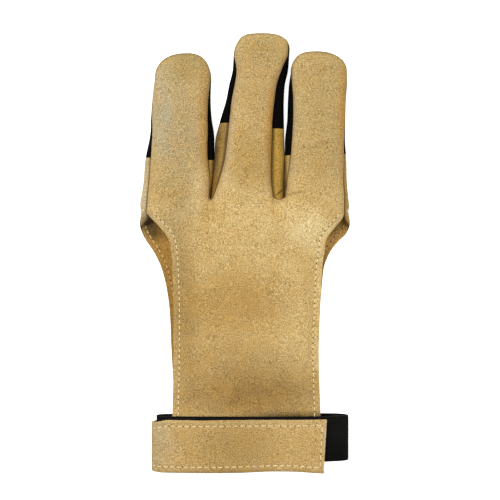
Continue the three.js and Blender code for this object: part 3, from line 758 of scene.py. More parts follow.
def back_leaf():
    sheet = Sheet()
    columns = back_columns()
    first_floor = next(i for i, c in enumerate(columns) if c[1] == 3)
    last_floor = max(i for i, c in enumerate(columns) if c[1] is None or c[1] >= 2)
    floor_left, floor_right = columns[first_floor][2].x, columns[last_floor][2].x
    crotch = [sheet.add(point, (0, seam_depth(around))) for _, around, point in columns]
    rows = [crotch]
    for at in palm_stations(PALM_LENGTH - LEAF_END):
        distance = at * PALM_LENGTH
        palm, sides = leaf_edges("palm", distance), leaf_edges("back", distance)
        opened = smoothstep(SIDE_SEAM_LENGTH, SIDE_SEAM_LENGTH + SIDE_OPENING, distance)

        def side_wall(side, share):
            return open_wall(palm[side], sides[side], (-1, 1)[side], share, opened)

        foot_left, foot_right = side_wall(0, 1)[0], side_wall(1, 1)[0]
        row = []
        for i, (_, around, point) in enumerate(columns):
            if i <= first_floor:
                x, z = side_wall(0, 4 - around)
            elif i >= last_floor:
                x, z = side_wall(1, around - 1)
            else:
                share = (point.x - floor_left) / (floor_right - floor_left)
                x = lerp(foot_left, foot_right, share)
                z = point.z * math.exp(-distance / FLOOR_FADE)
            z += smoothstep(*STRAP_LIFT, at) * (ELASTIC + SEAM_GAP + elastic_rise(x))
            y = -distance + point.y * (1 - smoothstep(*WEB_FADE, at))
            if opened >= HEM_OPENED:
                place = (1.0, max(0.0, min(x - sides[0], sides[1] - x)))
            else:
                outer = i <= first_floor or i >= last_floor
                place = (0.0, seam_depth(around) if outer else WALL_DEPTH)
            row.append(sheet.add((x, y, z), place))
        rows.append(row)
    sheet.grid(rows)
    for name in FINGER_NAMES:
        members = [i for i, c in enumerate(columns) if c[0] == name]
        finger_rows = []
        for share in steps(1, 0, SIDE_ROWS)[:-1]:
            row = []
            for i in members:
                around = columns[i][1]
                end = stretch_end(name, around) - along_gap(name)
                point = finger_point(name, end * share, around)
                row.append(sheet.add(point, (0, seam_depth(around))))
            finger_rows.append(row)
        sheet.grid(finger_rows + [[crotch[i] for i in members]])
    return sheet.solid("suede_back", SUEDE)


def over_leaf(x):
    """Height over the palm leaf of the inner face of whatever lies on it in the wrist loop."""
    distance = LOOP_AT * PALM_LENGTH
    left, right = leaf_edges("palm", distance)
    inside = min(right, max(left, x))
    return palm_top(inside, distance) + SEAM_GAP - LOOP_FALL * (x - inside) ** 2


def round_end(side, top, depth, foot=0.0, share=1.0, count=24):
    """The loop's bend at one side, from its top down to its foot."""
    return [
        (
            side * (LOOP_INNER + depth * math.sin(math.pi * t)),
            foot + (top - foot) * (0.5 + 0.5 * math.cos(math.pi * t)),
        )
        for t in steps(0, share, count)
    ]


def strap_top(x):
    lift = (HOOK_TAPE + SEAM_GAP) * smoothstep(HOOK_LEFT - 12, HOOK_LEFT - 1, x)
    return over_leaf(x) + ELASTIC + SEAM_GAP + lift + STRAP_SUEDE


def strap_path():
    front = [(x, strap_top(x)) for x in steps(STRAP_FREE_END, -LOOP_INNER, LOOP_STEPS)]
    end = round_end(-1, strap_top(-LOOP_INNER), LOOP_BEND)[1:-1]
    return front + end + [(x, 0) for x in steps(-LOOP_INNER, STRAP_BACK_END, 8)]


def elastic_path():
    clear = STRAP_SUEDE + SEAM_GAP
    top = over_leaf(-LOOP_INNER) + ELASTIC
    upper_end = round_end(-1, top, LOOP_BEND - clear, clear, 0.3, 10)[:0:-1]
    front = [(x, over_leaf(x) + ELASTIC) for x in steps(-LOOP_INNER, LOOP_INNER, LOOP_STEPS)]
    end = round_end(1, over_leaf(LOOP_INNER) + ELASTIC, LOOP_BEND)[1:-1]
    back = [(x, elastic_rise(x)) for x in steps(LOOP_INNER, -LOOP_INNER, LOOP_STEPS)]
    lower_end = round_end(-1, clear, LOOP_BEND - clear, top, 0.42, 14)[1:]
    return (upper_end + front + end + back + lower_end)[::-1]


def band(name, path, edges, thickness, across, bump=None):
    """A band swept along its path; edges(i) gives its lower and upper edge and its slant there."""
    sheet = Sheet()
    rows = []
    for i, (x, z) in enumerate(path):
        low, high, slant = edges(i)
        rows.append([
            sheet.add(
                (x - slant * (1 - share), lerp(low, high, share), z),
                (1.0, min(share, 1 - share) * (high - low)),
            )
            for share in steps(0, 1, across)
        ])
    sheet.grid(rows)
    return sheet.solid(name, thickness, bump)


def strap_edges(i):
    """Lower edge, upper edge and slant of the strap at a point of its path."""
    if i <= LOOP_STEPS:
        at = STRAP_FRONT_SHARE * i / LOOP_STEPS
    else:
        beyond = (i - LOOP_STEPS) / (len(strap_path()) - 1 - LOOP_STEPS)
        at = lerp(STRAP_FRONT_SHARE, 1, beyond)
    low = -PALM_LENGTH + STRAP_SUEDE * through(STRAP_WAVES, "lower", at)
    high = -PALM_LENGTH + STRAP_WIDTH + STRAP_SUEDE * through(STRAP_WAVES, "upper", at)
    return low, high, STRAP_SLANT * (1 - smoothstep(0, 0.15, at))


def strap_skin(point, place):
    """The strap's slow unevenness and the grooves of its stitching."""
    return (relief(point, STRAP_HILLS) + groove(place[1])) * smoothstep(0, 1.0, place[1])


def wrist_strap():
    return band("suede_strap", strap_path(), strap_edges, STRAP_SUEDE, 34, strap_skin)


def elastic_band():
    edges = (BAND_LOW, BAND_LOW + ELASTIC_WIDTH, 0)
    return band("woven_elastic", elastic_path(), lambda i: edges, ELASTIC, 10)


def hook_patch():
    lift = ELASTIC + SEAM_GAP + HOOK_TAPE
    path = [(x, over_leaf(x) + lift) for x in steps(HOOK_RIGHT, HOOK_LEFT, 20)]
    margin = (ELASTIC_WIDTH - HOOK_WIDTH) / 2
    edges = (BAND_LOW + margin, BAND_LOW + margin + HOOK_WIDTH, 0)
    return band("hook_tape", path, lambda i: edges, HOOK_TAPE, 16)


# Materials. Each is made of nodes alone, in object coordinates and real sizes.


def linear(hex_colour):
    """An sRGB hex colour as linear red, green, blue and alpha."""
    parts = [int(hex_colour[i:i + 2], 16) / 255 for i in (1, 3, 5)]
    return [c / 12.92 if c <= 0.04045 else ((c + 0.055) / 1.055) ** 2.4 for c in parts] + [1.0]


def feed(node, inputs):
    """Gives a node its inputs: another node's output, an sRGB hex colour or a plain value."""
    for key, value in inputs.items():
        if isinstance(value, bpy.types.NodeSocket):
            node.id_data.links.new(value, node.inputs[key])
        elif isinstance(value, str) and value.startswith("#"):
            node.inputs[key].default_value = linear(value)
        else:
            node.inputs[key].default_value = value


def add_node(tree, kind, inputs=None, **settings):
    made = tree.nodes.new(kind)
    for key, value in settings.items():
        setattr(made, key, value)
    feed(made, inputs or {})
    return made


def place_mm(x, y, z=0.0):
    """A place given about the crotch line, in the frame's metres."""
    return (Vector((x, y, z)) + SHIFT) * MM


# A map range node's setting, and the order of its inputs: value, from low and high, to low and high
SMOOTH = {"interpolation_type": "SMOOTHSTEP"}


class Paint:
    """The nodes of one material, in object coordinates, with sizes in millimetres."""

    def __init__(self, name):
        self.material = bpy.data.materials.new(name)
        self.material.use_nodes = True
        self.tree = self.material.node_tree
        self.tree.nodes.clear()
        self.shader = self.add("ShaderNodeBsdfPrincipled")
        self.add("ShaderNodeOutputMaterial", {"Surface": self.shader.outputs[0]})
        self.coordinates = self.add("ShaderNodeTexCoord").outputs["Object"]

    def add(self, kind, inputs=None, **settings):
        return add_node(self.tree, kind, inputs, **settings)

    def pattern(self, size, detail, roughness, *ends):
        """Noise of a size, as it is and run smoothly between two of its values."""
        look = {"Scale": 1 / (size * MM), "Detail": detail, "Roughness": roughness}
        raw = self.add("ShaderNodeTexNoise", {"Vector": self.coordinates, **look}).outputs[0]
        run = dict(enumerate((raw, *ends)))
        return raw, self.add("ShaderNodeMapRange", run, **SMOOTH).outputs[0]

    def zone(self, centre, radii, turn=0.0):
        """1 in the middle of a soft oval on the skin, 0 outside it."""
        oval = {
            "Location": place_mm(*centre), "Rotation": (0.0, 0.0, turn),
            "Scale": (radii[0] * MM, radii[1] * MM, 1.0),
        }
        moved = self.add(
            "ShaderNodeMapping", {"Vector": self.coordinates, **oval}, vector_type="TEXTURE"
        ).outputs["Vector"]
        flat = self.add("ShaderNodeVectorMath", {0: moved, 1: (1, 1, 0)}, operation="MULTIPLY")
        length = self.add("ShaderNodeVectorMath", {0: flat.outputs[0]}, operation="LENGTH")
        soft = {0: length.outputs["Value"], 1: 1.0, 2: 0.15}
        return self.add("ShaderNodeMapRange", soft, **SMOOTH).outputs[0]

    def coat(self, colour, tint, *shares, mode="MIX"):
        """A coat of a tint over a colour, as strong as the product of its shares."""
        share = shares[0]
        for other in shares[1:]:
            product = self.add("ShaderNodeMath", {0: share, 1: other}, operation="MULTIPLY")
            share = product.outputs[0]
        laid = {0: share, 6: colour, 7: tint}
        return self.add("ShaderNodeMix", laid, data_type="RGBA", blend_type=mode).outputs[2]

    def finish(self, colour, roughness, specular, height=None, strength=0.0, depth=0.1):
        """Sets the shader's colour and gloss, and its bump if that has a strength."""
        look = {"Base Color": colour, "Roughness": roughness, "Specular IOR Level": specular}
        if strength:
            bump = {"Height": height, "Strength": strength, "Distance": depth * MM}
            look["Normal"] = self.add("ShaderNodeBump", bump).outputs[0]
        feed(self.shader, look)
        return self.material


# Suede: split cowhide with its nap raised by buffing. The nap lies in small patches that turn
# the light differently, so the tan is mottled, and it has no gloss.
SUEDE_TAN = "#c6a970"
SUEDE_LIGHT = "#d9c28c"
SUEDE_DARK = "#a98749"
# Tint of the painted shade in the crevice along the seams
SUEDE_SEAM_SHADOW = "#3f3212"
SUEDE_GOLD = "#b98f45"
# Tint of the painted shade on the finger tips' rims
SUEDE_RIM_SHADE = "#5c4f26"
HEM_LIGHT = 0.3
# The painted shade along the seams: how far from the seam it reaches, in mm, and how strong it is
SEAM_SHADE = 1.0
SEAM_DARK = 0.65
BROAD_LIGHT = 0.3
NAP_DARK = 0.16
FLUFF_LIGHT = 0.32
NAP_BUMP = 1.2
# Each layer of noise: its size, detail and roughness, the values that it runs between, and what
# they become, if not 0 and 1
SUEDE_LAYERS = {
    "broad": (22, 2, 0.55, 0.36, 0.66),
    "nap": (2.4, 3, 0.6, 0.3, 0.7),
    "grain": (0.62, 4, 0.75, 0.34, 0.66),
    "fluff": (0.38, 3, 0.6, 0.5, 0.72),
    "blotch": (8, 3, 0.55, 0.42, 0.64, 0.0, 0.24),
    "brushed": (5.5, 2, 0.55, 0.36, 0.6, 0.68, 1.0),
}
PIT_TONE = (0.4, 0.35, 0.26, 1.0)
TIP_TONE = (1.34, 1.35, 1.4, 1.0)


def suede(
    name, tan=SUEDE_TAN, light=SUEDE_LIGHT, dark=SUEDE_DARK, zones=(), flesh=None, shaded_rims=()
):
    p = Paint(name)
    broad, nap, grain, fluff, blotch, brushed = (
        p.pattern(*layer)[1] for layer in SUEDE_LAYERS.values()
    )
    run = p.add("ShaderNodeUVMap", uv_map="run").outputs["UV"]
    inset = p.add("ShaderNodeSeparateXYZ", {"Vector": run}).outputs
    border = {0: inset["Y"], 1: STITCH_INSET + 0.3, 2: STITCH_INSET - 0.3}
    hem = p.add("ShaderNodeMapRange", border, **SMOOTH).outputs[0]
    colour = p.coat(tan, light, broad, BROAD_LIGHT)
    colour = p.coat(colour, light, hem, inset["X"], HEM_LIGHT)
    if flesh:
        side = p.add("ShaderNodeAttribute", attribute_name="inside").outputs["Fac"]
        colour = p.coat(colour, flesh, side)
    colour = p.coat(colour, dark, nap, NAP_DARK)
    ragged = p.add("ShaderNodeMapRange", {0: broad, 3: 0.85}, **SMOOTH).outputs[0]
    for x, y, wide, high, tint, strength, *turn in zones:
        colour = p.coat(colour, tint, p.zone((x, y), (wide, high), *turn), ragged, strength)
    colour = p.coat(colour, SUEDE_GOLD, blotch)
    tones = p.coat(PIT_TONE, TIP_TONE, grain)
    colour = p.coat(colour, tones, brushed, mode="MULTIPLY")
    colour = p.coat(colour, light, fluff, FLUFF_LIGHT)
    # Painted shade: darker in the crevice next to a seam, on sheets sewn to the next one rather
    # than hemmed
    edge = {0: inset["Y"], 1: SEAM_SHADE, 2: 0.3 * SEAM_SHADE}
    seam_shadow = p.add("ShaderNodeMapRange", edge, **SMOOTH).outputs[0]
    sewn = p.add("ShaderNodeMath", {0: 1.0, 1: inset["X"]}, operation="SUBTRACT").outputs[0]
    colour = p.coat(colour, SUEDE_SEAM_SHADOW, sewn, seam_shadow, SEAM_DARK)
    # Painted shade on the finger tips' rims, darker where the skin turns edge-on to the camera
    for centre, radii in shaded_rims:
        facing = p.add("ShaderNodeLayerWeight", {"Blend": 0.5}).outputs["Facing"]
        rim = {0: facing, 1: 0.25, 2: 0.85, 3: 0.0, 4: 0.75}
        edge_on = p.add("ShaderNodeMapRange", rim, **SMOOTH).outputs[0]
        colour = p.coat(colour, SUEDE_RIM_SHADE, p.zone(centre, radii), edge_on)
    feed(p.shader, {"Sheen Weight": 0.06, "Sheen Roughness": 0.6, "Sheen Tint": "#efe0b8"})
    lifted = p.add("ShaderNodeMath", {0: nap, 1: NAP_BUMP}, operation="MULTIPLY").outputs[0]
    height = p.add("ShaderNodeMath", {0: grain, 1: lifted}, operation="ADD").outputs[0]
    return p.finish(colour, 0.95, 0.1, height, 0.5, 0.1)


# Four-way stretch knit: a fine, dull black jersey. Its loops are drawn a little coarse to show.
def stretch_knit():
    p = Paint("elastane_jersey_black")
    look = {"Scale": 1 / (2.2 * MM), "Distortion": 1.5, "Detail": 2.0}
    loops = p.add("ShaderNodeTexWave", {"Vector": p.coordinates, **look}).outputs["Fac"]
    fuzz, share = p.pattern(0.6, 3.0, 0.55, 0.3, 0.7)
    height = p.add("ShaderNodeMath", {0: loops, 1: fuzz}, operation="ADD").outputs[0]
    return p.finish(p.coat("#020201", "#0a0806", share), 0.85, 0.05, height, 0.5, 0.15)


def mottled(name, low, high, size, detail, roughness, specular, strength=0.0):
    """A material that wanders between two close colours, with a bump if it has a strength."""
    p = Paint(name)
    grain, share = p.pattern(size, detail, 0.55, 0.3, 0.7)
    return p.finish(p.coat(low, high, share), roughness, specular, grain, strength, 0.12)


# Stitches and ribs


def repeat_tree(name, shape):
    """Geometry nodes that set one bead or rib on every point of a run, turned to lie along it."""
    tree = bpy.data.node_groups.new(name, "GeometryNodeTree")
    for label, kind in (
        ("Run", "Geometry"), ("Length", "Float"), ("Width", "Float"), ("Height", "Float"),
        ("Unevenness", "Float"), ("Seed", "Int"), ("Material", "Material"),
    ):
        tree.interface.new_socket(name=label, in_out="INPUT", socket_type="NodeSocket" + kind)
    tree.interface.new_socket(name="Run", in_out="OUTPUT", socket_type="NodeSocketGeometry")

    def node(kind, inputs=None, **settings):
        """The first output of a new node."""
        return add_node(tree, kind, inputs, **settings).outputs[0]

    given = add_node(tree, "NodeGroupInput").outputs
    if shape == "bead":
        one = node("GeometryNodeMeshUVSphere", {"Segments": 8, "Rings": 6})
    else:
        upright = node("GeometryNodeMeshCylinder", {"Vertices": 8, "Radius": 1.0, "Depth": 2.0})
        lying = {"Geometry": upright, "Rotation": (math.pi / 2, 0.0, 0.0)}
        one = node("GeometryNodeTransform", lying)
    lengths = {"X": given["Length"], "Y": given["Width"], "Z": given["Height"]}
    size = node("ShaderNodeCombineXYZ", lengths)
    half = node("ShaderNodeVectorMath", {0: size, 1: (0.5, 0.5, 0.5)}, operation="MULTIPLY")
    sized = node("GeometryNodeTransform", {"Geometry": one, "Scale": half})
    along, out = (
        node("GeometryNodeInputNamedAttribute", {"Name": label}, data_type="FLOAT_VECTOR")
        for label in ("along", "out")
    )
    first = node("FunctionNodeAlignRotationToVector", {"Vector": along}, axis="X")
    turned = node(
        "FunctionNodeAlignRotationToVector", {"Rotation": first, "Vector": out},
        axis="Z", pivot_axis="X",
    )
    seed = {"Seed": given["Seed"]}
    random = add_node(tree, "FunctionNodeRandomValue", seed, data_type="FLOAT")
    limits = [s for s in random.inputs if s.type == "VALUE"]
    for limit, operation in zip(limits, ("SUBTRACT", "ADD")):
        about_one = {0: 1.0, 1: given["Unevenness"]}
        tree.links.new(node("ShaderNodeMath", about_one, operation=operation), limit)
    placed = node("GeometryNodeInstanceOnPoints", {
        "Points": given["Run"], "Instance": sized, "Rotation": turned,
        "Scale": next(s for s in random.outputs if s.type == "VALUE"),
    })
    real = node("GeometryNodeRealizeInstances", {"Geometry": placed})
    smooth = node("GeometryNodeSetShadeSmooth", {"Geometry": real})
    painted = node("GeometryNodeSetMaterial", {"Geometry": smooth, "Material": given["Material"]})
    add_node(tree, "NodeGroupOutput", {0: painted})
    return tree


def spaced(path, pitch, sink=0.0, phase=0.5):
    """Points every pitch millimetres along a path of (point, normal), with their directions."""
    lengths = [0.0]
    for (a, _), (b, _) in zip(path, path[1:]):
        lengths.append(lengths[-1] + (b - a).length)
    count = max(1, round(lengths[-1] / pitch))
    found, i = [], 0
    for k in range(count):
        want = (k + phase) * lengths[-1] / count
        while i + 2 < len(path) and lengths[i + 1] < want:
            i += 1
        share = (want - lengths[i]) / max(1e-9, lengths[i + 1] - lengths[i])
        (a, a_out), (b, b_out) = path[i], path[i + 1]
        normal = a_out.lerp(b_out, share).normalized()
        found.append((a.lerp(b, share) - normal * sink, (b - a).normalized(), normal))
    return found


def repeated(name, tree, points, sizes, material, unevenness=0.08, seed=3):
    """Runs a repeat tree over spaced points and returns one plain mesh object."""
    mesh = bpy.data.meshes.new(name + "_run")
    mesh.from_pydata([(p + SHIFT) * MM for p, _, _ in points], [], [])
    for label, column in (("along", 1), ("out", 2)):
        layer = mesh.attributes.new(label, "FLOAT_VECTOR", "POINT")
        layer.data.foreach_set("vector", [v for p in points for v in p[column]])
    run = linked(name + "_run", mesh)
    modifier = run.modifiers.new("repeat", "NODES")
    modifier.node_group = tree
    sockets = {s.name: s.identifier for s in tree.interface.items_tree if s.in_out == "INPUT"}
    values = {
        "Length": sizes[0] * MM, "Width": sizes[1] * MM, "Height": sizes[2] * MM,
        "Unevenness": unevenness, "Seed": seed, "Material": material,
    }
    for label, value in values.items():
        modifier[sockets[label]] = value
    depsgraph = bpy.context.evaluated_depsgraph_get()
    made = bpy.data.meshes.new_from_object(run.evaluated_get(depsgraph))
    run.modifiers.clear()
    bpy.data.objects.remove(run)
    made.name = name
    return linked(name, made)


# Runs of stitches


def inset_line(edge, inset):
    """An edge of (x, y) points moved inwards by inset; inwards is to the left of its way."""
    moved = []
    for i, (x, y) in enumerate(edge):
        ax, ay = edge[max(0, i - 2)]
        bx, by = edge[min(len(edge) - 1, i + 2)]
        length = math.hypot(bx - ax, by - ay)
        moved.append((x - (by - ay) / length * inset, y + (bx - ax) / length * inset))
    return moved


# A height over all that lies on the table
ABOVE = 40


def lying_on(obj, points):
    """A line of (x, y) points laid on an object's face from above, as (point, normal)."""
    tree = BVHTree.FromPolygons(
        [v.co for v in obj.data.vertices], [list(f.vertices) for f in obj.data.polygons]
    )
    line = []
    for x, y in points:
        hit, normal, _, _ = tree.ray_cast(place_mm(x, y, ABOVE), Vector((0, 0, -1)))
        if hit is not None:
            line.append((hit / MM - SHIFT, normal))
    return line


def edge_lines(leaf, start, end, count):
    """The rows of stitches along a leaf's left and right free edge, as (x, y) points."""
    for side, inset in enumerate((STITCH_INSET, -STITCH_INSET)):
        edge = [(leaf_edges(leaf, d)[side], -d) for d in steps(start, end, count)]
        yield inset_line(edge, inset)


def on_band(path, i, y, slant=0.0):
    """A point on a band's outer face at a point of its path, with the normal there."""
    (ax, az), (bx, bz) = path[max(0, i - 1)], path[min(len(path) - 1, i + 1)]
    length = math.hypot(bx - ax, bz - az)
    # The strap's path runs to the left over the front, so its outside is on its right.
    normal = Vector(((bz - az) / length, 0, -(bx - ax) / length))
    return Vector((path[i][0] - slant, y, path[i][1])) - normal * STITCH_GROOVE, normal


def strap_lines():
    """The strap's two long rows of stitches, from its free end round to its back end."""
    path = strap_path()
    first = next(i for i, (x, _) in enumerate(path) if x < STRAP_FREE_END - END_INSET)
    upper, lower = [], []
    for i in range(first, len(path) - 4):
        low, high, slant = strap_edges(i)
        upper.append(on_band(path, i, high - STITCH_INSET))
        lower.append(on_band(path, i, low + STITCH_INSET, slant))
    return upper, lower


def strap_end_line():
    """The row across the strap's free end, as (x, y) points."""
    low, high, slant = strap_edges(0)
    return [
        (STRAP_FREE_END - END_INSET - slant * (high - y) / (high - low), y)
        for y in steps(low + STITCH_INSET, high - STITCH_INSET, 30)
    ]


def bar_tacks():
    """Short stitches that close the side seams at their lower ends."""
    runs = []
    for name, side, arounds in (("ring", -1, (3.72, 3.86)), ("index", 1, (1.28, 1.14))):
        out = Vector((side, 0, 0.4)).normalized()
        for along in TACK_SHARES:
            points = [finger_point(name, 0, around) for around in steps(*arounds, 6)]
            for point in points:
                point.y = along * straight_length(name)
            runs.append([(point + out * 0.1, out) for point in points])
    return runs


def elastic_ribs():
    path = elastic_path()[::-1]
    middle = BAND_LOW + ELASTIC_WIDTH / 2
    run = []
    for (ax, az), (bx, bz) in zip(path, path[1:]):
        length = math.hypot(bx - ax, bz - az)
        run.append((Vector((ax, middle, az)), Vector(((az - bz) / length, 0, (bx - ax) / length))))
    return run


# The suedes of each panel. A zone has its centre's x and y, its radii, its tint, its strength and
# sometimes a turn. Most zones paint shade or highlight on the skin; the others make parts of it
# darker, lighter or greyer.
palm_suede = suede("nubuck_suede_palm", zones=(
    (-34, 28, 24, 66, "#a1906a", 0.8),
    # Painted shade on the ring and the index finger's tips (this line and the next)
    (-30, 66, 22, 16, "#8f7c4c", 0.7),
    (35, 64, 22, 14, "#957f4c", 0.42),
    (33, 17, 22, 15, "#a08350", 0.38),
    # Painted shade in the dent at the ring finger's base (this line)
    (-39, 4, 13, 13, "#a0813f", 0.3),
    (30, -50, 6, 46, "#a8874a", 0.35),
    (2, 56, 20, 42, "#a38a5c", 0.65),
    # Painted shade on the middle finger's tip
    (8, 74, 20, 14, "#94804f", 0.5),
    (38, 40, 26, 56, "#a08a5a", 0.75),
    # Painted highlight on the ridge at the ring finger's base; painted shade in the valley below
    # the left crotch (next line)
    (-24, 6, 6, 15, "#dcc590", 0.7, -0.25),
    (-21, -9, 6, 13, "#b8954c", 0.45, -0.3),
    # Painted highlight on the palm's bulge below the index finger
    (28, -16, 15, 17, "#e6d6a4", 0.55, 0.5),
    # Painted shade at the middle finger's base
    (-1, 18, 17, 24, "#8f6f30", 0.55),
    # Painted shade down the fingers' shaded right sides (three lines), then painted light, paler
    # and greyer, down their lit left sides (three lines)
    (-22.5, 33, 4.5, 52, "#bb8a3c", 0.55),
    (10.8, 32, 4.5, 36, "#c08a34", 0.7),
    (47, 38, 4.5, 52, "#b78332", 0.7),
    (-10, 36, 5, 46, "#cfc09c", 0.4, -0.1),
    (21, 40, 4, 50, "#c6b68e", 0.35),
    (-44, 43, 9, 34, "#a2a494", 0.45),
    # Painted shade in the crease below the right crotch
    (24, 2, 9, 1.2, "#6f5a2c", 0.6, 0.2),
    # Painted shade in the hollow across the palm
    (-8, -54, 44, 26, "#9b7432", 0.65, 0.12),
    # Darker along the palm's left edge
    (-34, -52, 13, 60, "#8a6d3a", 0.7, 0.06),
    # Painted shade on the lower palm, and the strap's painted shadow along the palm's lower end
    # (third line)
    (0, -98, 64, 22, "#7f5c24", 0.8),
    (-6, -80, 44, 14, "#8d6c34", 0.45),
    (26, -110.5, 46, 6, "#3f3010", 0.95),
# Painted shade on the rims of the three finger tips, given below
), shaded_rims=(((-35, 68), (24, 20)), ((5, 76), (22, 18)), ((35, 68), (24, 20))))
back_suede = suede(
    "nubuck_suede_back", tan="#bba472", light="#c8b284", dark="#947440", flesh="#b58942", zones=(
        (-53, 0, 9, 26, "#c9bda0", 0.65),
        # Painted shade on the right outer wall, which faces away from the light
        (48, -1, 7, 34, "#a07c34", 0.85),
        # Painted light inside the right opening, which the palm leaf's edge shades
        (42, -21, 12, 16, "#f0c070", 0.95),
        # Painted shade under the palm leaf's edge at the left and the right opening (two lines)
        (-50, -15.5, 7, 11, "#3a2a08", 0.85, 0.65),
        (43, -16, 2.6, 8, "#5c4410", 0.7, -0.66),
    ),
)
# Right walls between the middle and the index finger: their golden tan is painted light, bounced
# between the fingers. A lighter strip lies by the index finger's seam; painted shade darkens the
# slot beside it and the crotch.
wall_suede = suede(
    "nubuck_suede_right_walls_bounce_lit", tan="#ae8c3f", light="#ba984a", dark="#85691f", zones=(
        (19.6, 12, 2.2, 20, "#b5a176", 0.7),
        (17.7, 8, 1.2, 17, "#171004", 0.9),
        (14.6, 2.2, 3.8, 0.9, "#2e2109", 0.95, 0.78),
    ),
)
# Left walls between the ring and the middle finger: a darker tan, painted shade from the ring
# finger, with golden painted bounce light low on the ring's wall and painted shade darkest in the
# slot.
left_wall_suede = suede("nubuck_suede_left_walls_shaded", tan="#967c4b", light="#a28858", zones=(
    (-20.5, 6, 4.2, 20, "#ab822a", 0.95),
    (-17.5, 5, 4.0, 11, "#84621b", 0.85, -0.2),
    (-16.6, 27, 4.2, 20, "#6a5212", 0.8, -0.1),
    (-17.2, 22, 2.7, 17, "#1f1705", 0.97),
))
strap_suede = suede("nubuck_suede_strap", tan="#bfa068", light="#cdb27e", zones=(
    (-8, -124, 34, 22, "#8c7036", 0.55),
    # Painted shade along the strap's lower border
    (-5, -138, 100, 5.5, "#755a2a", 0.75),
    (38, -124, 2.6, 24, "#d0c7a8", 0.6),
    # Painted light on the strap's left bend, which faces the light
    (-46, -124, 14, 26, "#b3a584", 0.6),
))
jersey = stretch_knit()
# Woven elastic: polyester yarn over rubber cores, dull black with a slight yarn gloss.
elastic = mottled("polyester_elastic_black", "#020201", "#0b0907", 0.5, 3, 0.7, 0.12, 0.4)
# Hook tape: woven nylon with fine hooks, a dull black under the strap's free end.
hook = mottled("nylon_hook_tape", "#141311", "#26241f", 0.5, 3, 0.8, 0.12, 0.4)
# Bonded nylon sewing thread, with a slight gloss. It is golden along the back leaf's edges.
cream = mottled("nylon_thread_cream", "#cfb883", "#ebdcb2", 0.4, 2, 0.6, 0.5)
golden = mottled("nylon_thread_golden", "#c7a564", "#ecd29b", 0.4, 2, 0.6, 0.5)
# Needle holes: the pulled-in, shaded suede between two stitches.
pit = mottled("suede_needle_hole", "#6d4f20", "#8f6f36", 0.5, 2, 1.0, 0.0)

leaf = palm_leaf()
back = back_leaf()
strap = wrist_strap()
made = [
    (leaf, palm_suede, "palm_suede", "palm_leaf"),
    (back, back_suede, "back_suede", "back_leaf"),
    (gusset("ring", "middle"), left_wall_suede, "back_suede", "gusset_ring_middle"),
    (gusset("middle", "index"), wall_suede, "back_suede", "gusset_middle_index"),
    (strap, strap_suede, "strap_suede", "wrist_strap"),
    (elastic_band(), elastic, "ribbed_elastic", "elastic_band"),
    (hook_patch(), hook, "hook_tape", "hook_patch"),
]
made += [
    (finger_back(name), jersey, "stretch_fabric", "finger_back_" + name) for name in FINGER_NAMES
]
for obj, material, slot_name, node_name in made:
    obj.data.materials.append(material)
    for polygon in obj.data.polygons:
        polygon.use_smooth = True
    bevel = obj.modifiers.new("cut_edge", "BEVEL")
    bevel.width = EDGE_ROUND * MM
    bevel.segments = 2
    bevel.limit_method = "ANGLE"
    bevel.angle_limit = EDGE_ANGLE
    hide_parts(node_name)
    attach(obj, "root")

beads = repeat_tree("stitch_run", "bead")
ribs = repeat_tree("rib_run", "rib")
runs = []
for leaf_name, obj, slot_name, start, end, count in (
    ("palm", leaf, "palm_suede", SIDE_SEAM_LENGTH + 1.5, PALM_LENGTH - LEAF_END - 2, 160),
    ("back", back, "back_suede", SIDE_SEAM_LENGTH + SIDE_OPENING - 4, BACK_STITCH_END, 80),
):
    for label, line in zip(("left", "right"), edge_lines(leaf_name, start, end, count)):
        name = leaf_name + "_stitches_" + label
        runs.append((name, lying_on(obj, line), STITCH_PITCH, slot_name))
for label, line in zip(("upper", "lower"), strap_lines()):
    runs.append(("strap_stitches_" + label, line, STRAP_PITCH, "strap_suede"))
end_line = lying_on(strap, strap_end_line())
runs.append(("strap_stitches_end", end_line, STRAP_PITCH, "strap_suede"))
for i, line in enumerate(bar_tacks()):
    runs.append(("bar_tack_%d" % i, line, TACK_PITCH, "back_suede"))
for i, (name, line, pitch, slot_name) in enumerate(runs):
    bead = STITCH if pitch < STRAP_PITCH else LONG_STITCH
    yarn = golden if name.startswith("back_stitches") else cream
    for label, points, sizes, material in (
        ("", spaced(line, pitch, 0.02), bead, yarn),
        ("_holes", spaced(line, pitch, 0.0, 1.0), NEEDLE_HOLE, pit),
    ):
        obj = repeated(name + label, beads, points, sizes, material, seed=i)
        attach(obj, "root")

rib_points = spaced(elastic_ribs(), RIB_PITCH, 0.12)
rib_obj = repeated("elastic_ribs", ribs, rib_points, RIB, elastic, 0.0)
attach(rib_obj, "root")

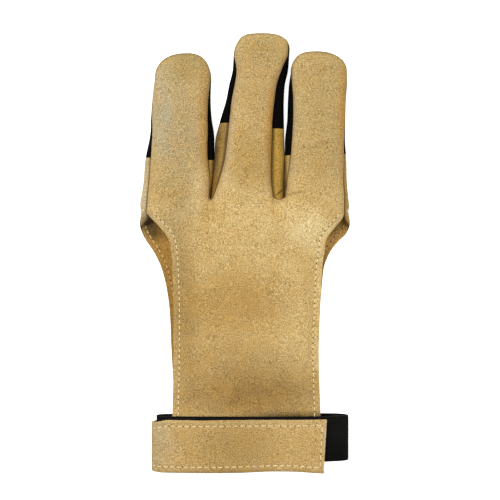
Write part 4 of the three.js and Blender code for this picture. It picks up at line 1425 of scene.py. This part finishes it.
# Studio floor: matte white paper. It glows for the camera alone, except in the slots between the
# fingers, where the photograph's paper lies in shade.
FLOOR_HALF = 3.0
FLOOR_DROP = 0.0002
PAPER_GLOW = 0.9
SLOTS = ((-18.5, 8), (17.8, 8))
SLOT_RADII = (6, 20.5)
p = Paint("matte_white_paper")
glow = [p.add("ShaderNodeLightPath").outputs["Is Camera Ray"]]
for centre in SLOTS:
    shaded = {0: p.zone(centre, SLOT_RADII), 1: 0.0, 2: 0.3, 3: 1.0, 4: 0.0}
    glow.append(p.add("ShaderNodeMapRange", shaded, **SMOOTH).outputs[0])
lit = p.coat("#000000", "#ffffff", *glow, PAPER_GLOW)
feed(p.shader, {
    "Base Color": "#fbfbfa", "Roughness": 1.0, "Specular IOR Level": 0.0,
    "Emission Color": (1.0, 1.0, 1.0, 1.0), "Emission Strength": lit,
})
floor_mesh = bpy.data.meshes.new("studio_floor")
corners = ((-1, -1), (1, -1), (1, 1), (-1, 1))
floor_mesh.from_pydata(
    [(x * FLOOR_HALF, y * FLOOR_HALF, -FLOOR_DROP) for x, y in corners], [], [(0, 1, 2, 3)]
)
floor_mesh.materials.append(p.material)
floor = linked("studio_floor", floor_mesh)

# Two softboxes: name, place, size and power. Both are turned to the origin.
for name, place, size, power in (
    ("softbox_upper_left", (-0.48, 0.5, 1.1), 0.6, 14.2),
    ("softbox_fill", (0.7, 0.1, 0.9), 0.8, 5.0),
):
    lamp = bpy.data.lights.new(name, "AREA")
    lamp.shape = "DISK"
    lamp.size = size
    lamp.energy = power
    light = linked(name, lamp)
    light.location = place
    light.rotation_euler = (-Vector(place)).to_track_quat("-Z", "Y").to_euler()

AIR_LIGHT = 0.36
world = bpy.data.worlds.new("studio_air")
world.use_nodes = True
air = world.node_tree.nodes["Background"].inputs
air["Color"].default_value = (1.0, 1.0, 1.0, 1.0)
air["Strength"].default_value = AIR_LIGHT
bpy.context.scene.world = world
bpy.context.scene.view_settings.view_transform = "Standard"
bpy.context.scene.view_settings.look = "None"

# The photograph looks straight down from about 62 cm. Its 25 cm lie in a plane in the glove.
CAMERA_HEIGHT = 0.628
PLANE_HEIGHT = 0.008
PICTURE_WIDTH = 0.250
PICTURE_MIDDLE = (0, -26.5)
SENSOR_WIDTH = 36
camera_data = bpy.data.cameras.new("studio_camera")
camera_data.sensor_width = SENSOR_WIDTH
camera_data.lens = SENSOR_WIDTH * (CAMERA_HEIGHT - PLANE_HEIGHT) / PICTURE_WIDTH
camera = linked("studio_camera", camera_data)
camera.location = (*place_mm(*PICTURE_MIDDLE)[:2], CAMERA_HEIGHT)
bpy.context.scene.camera = camera
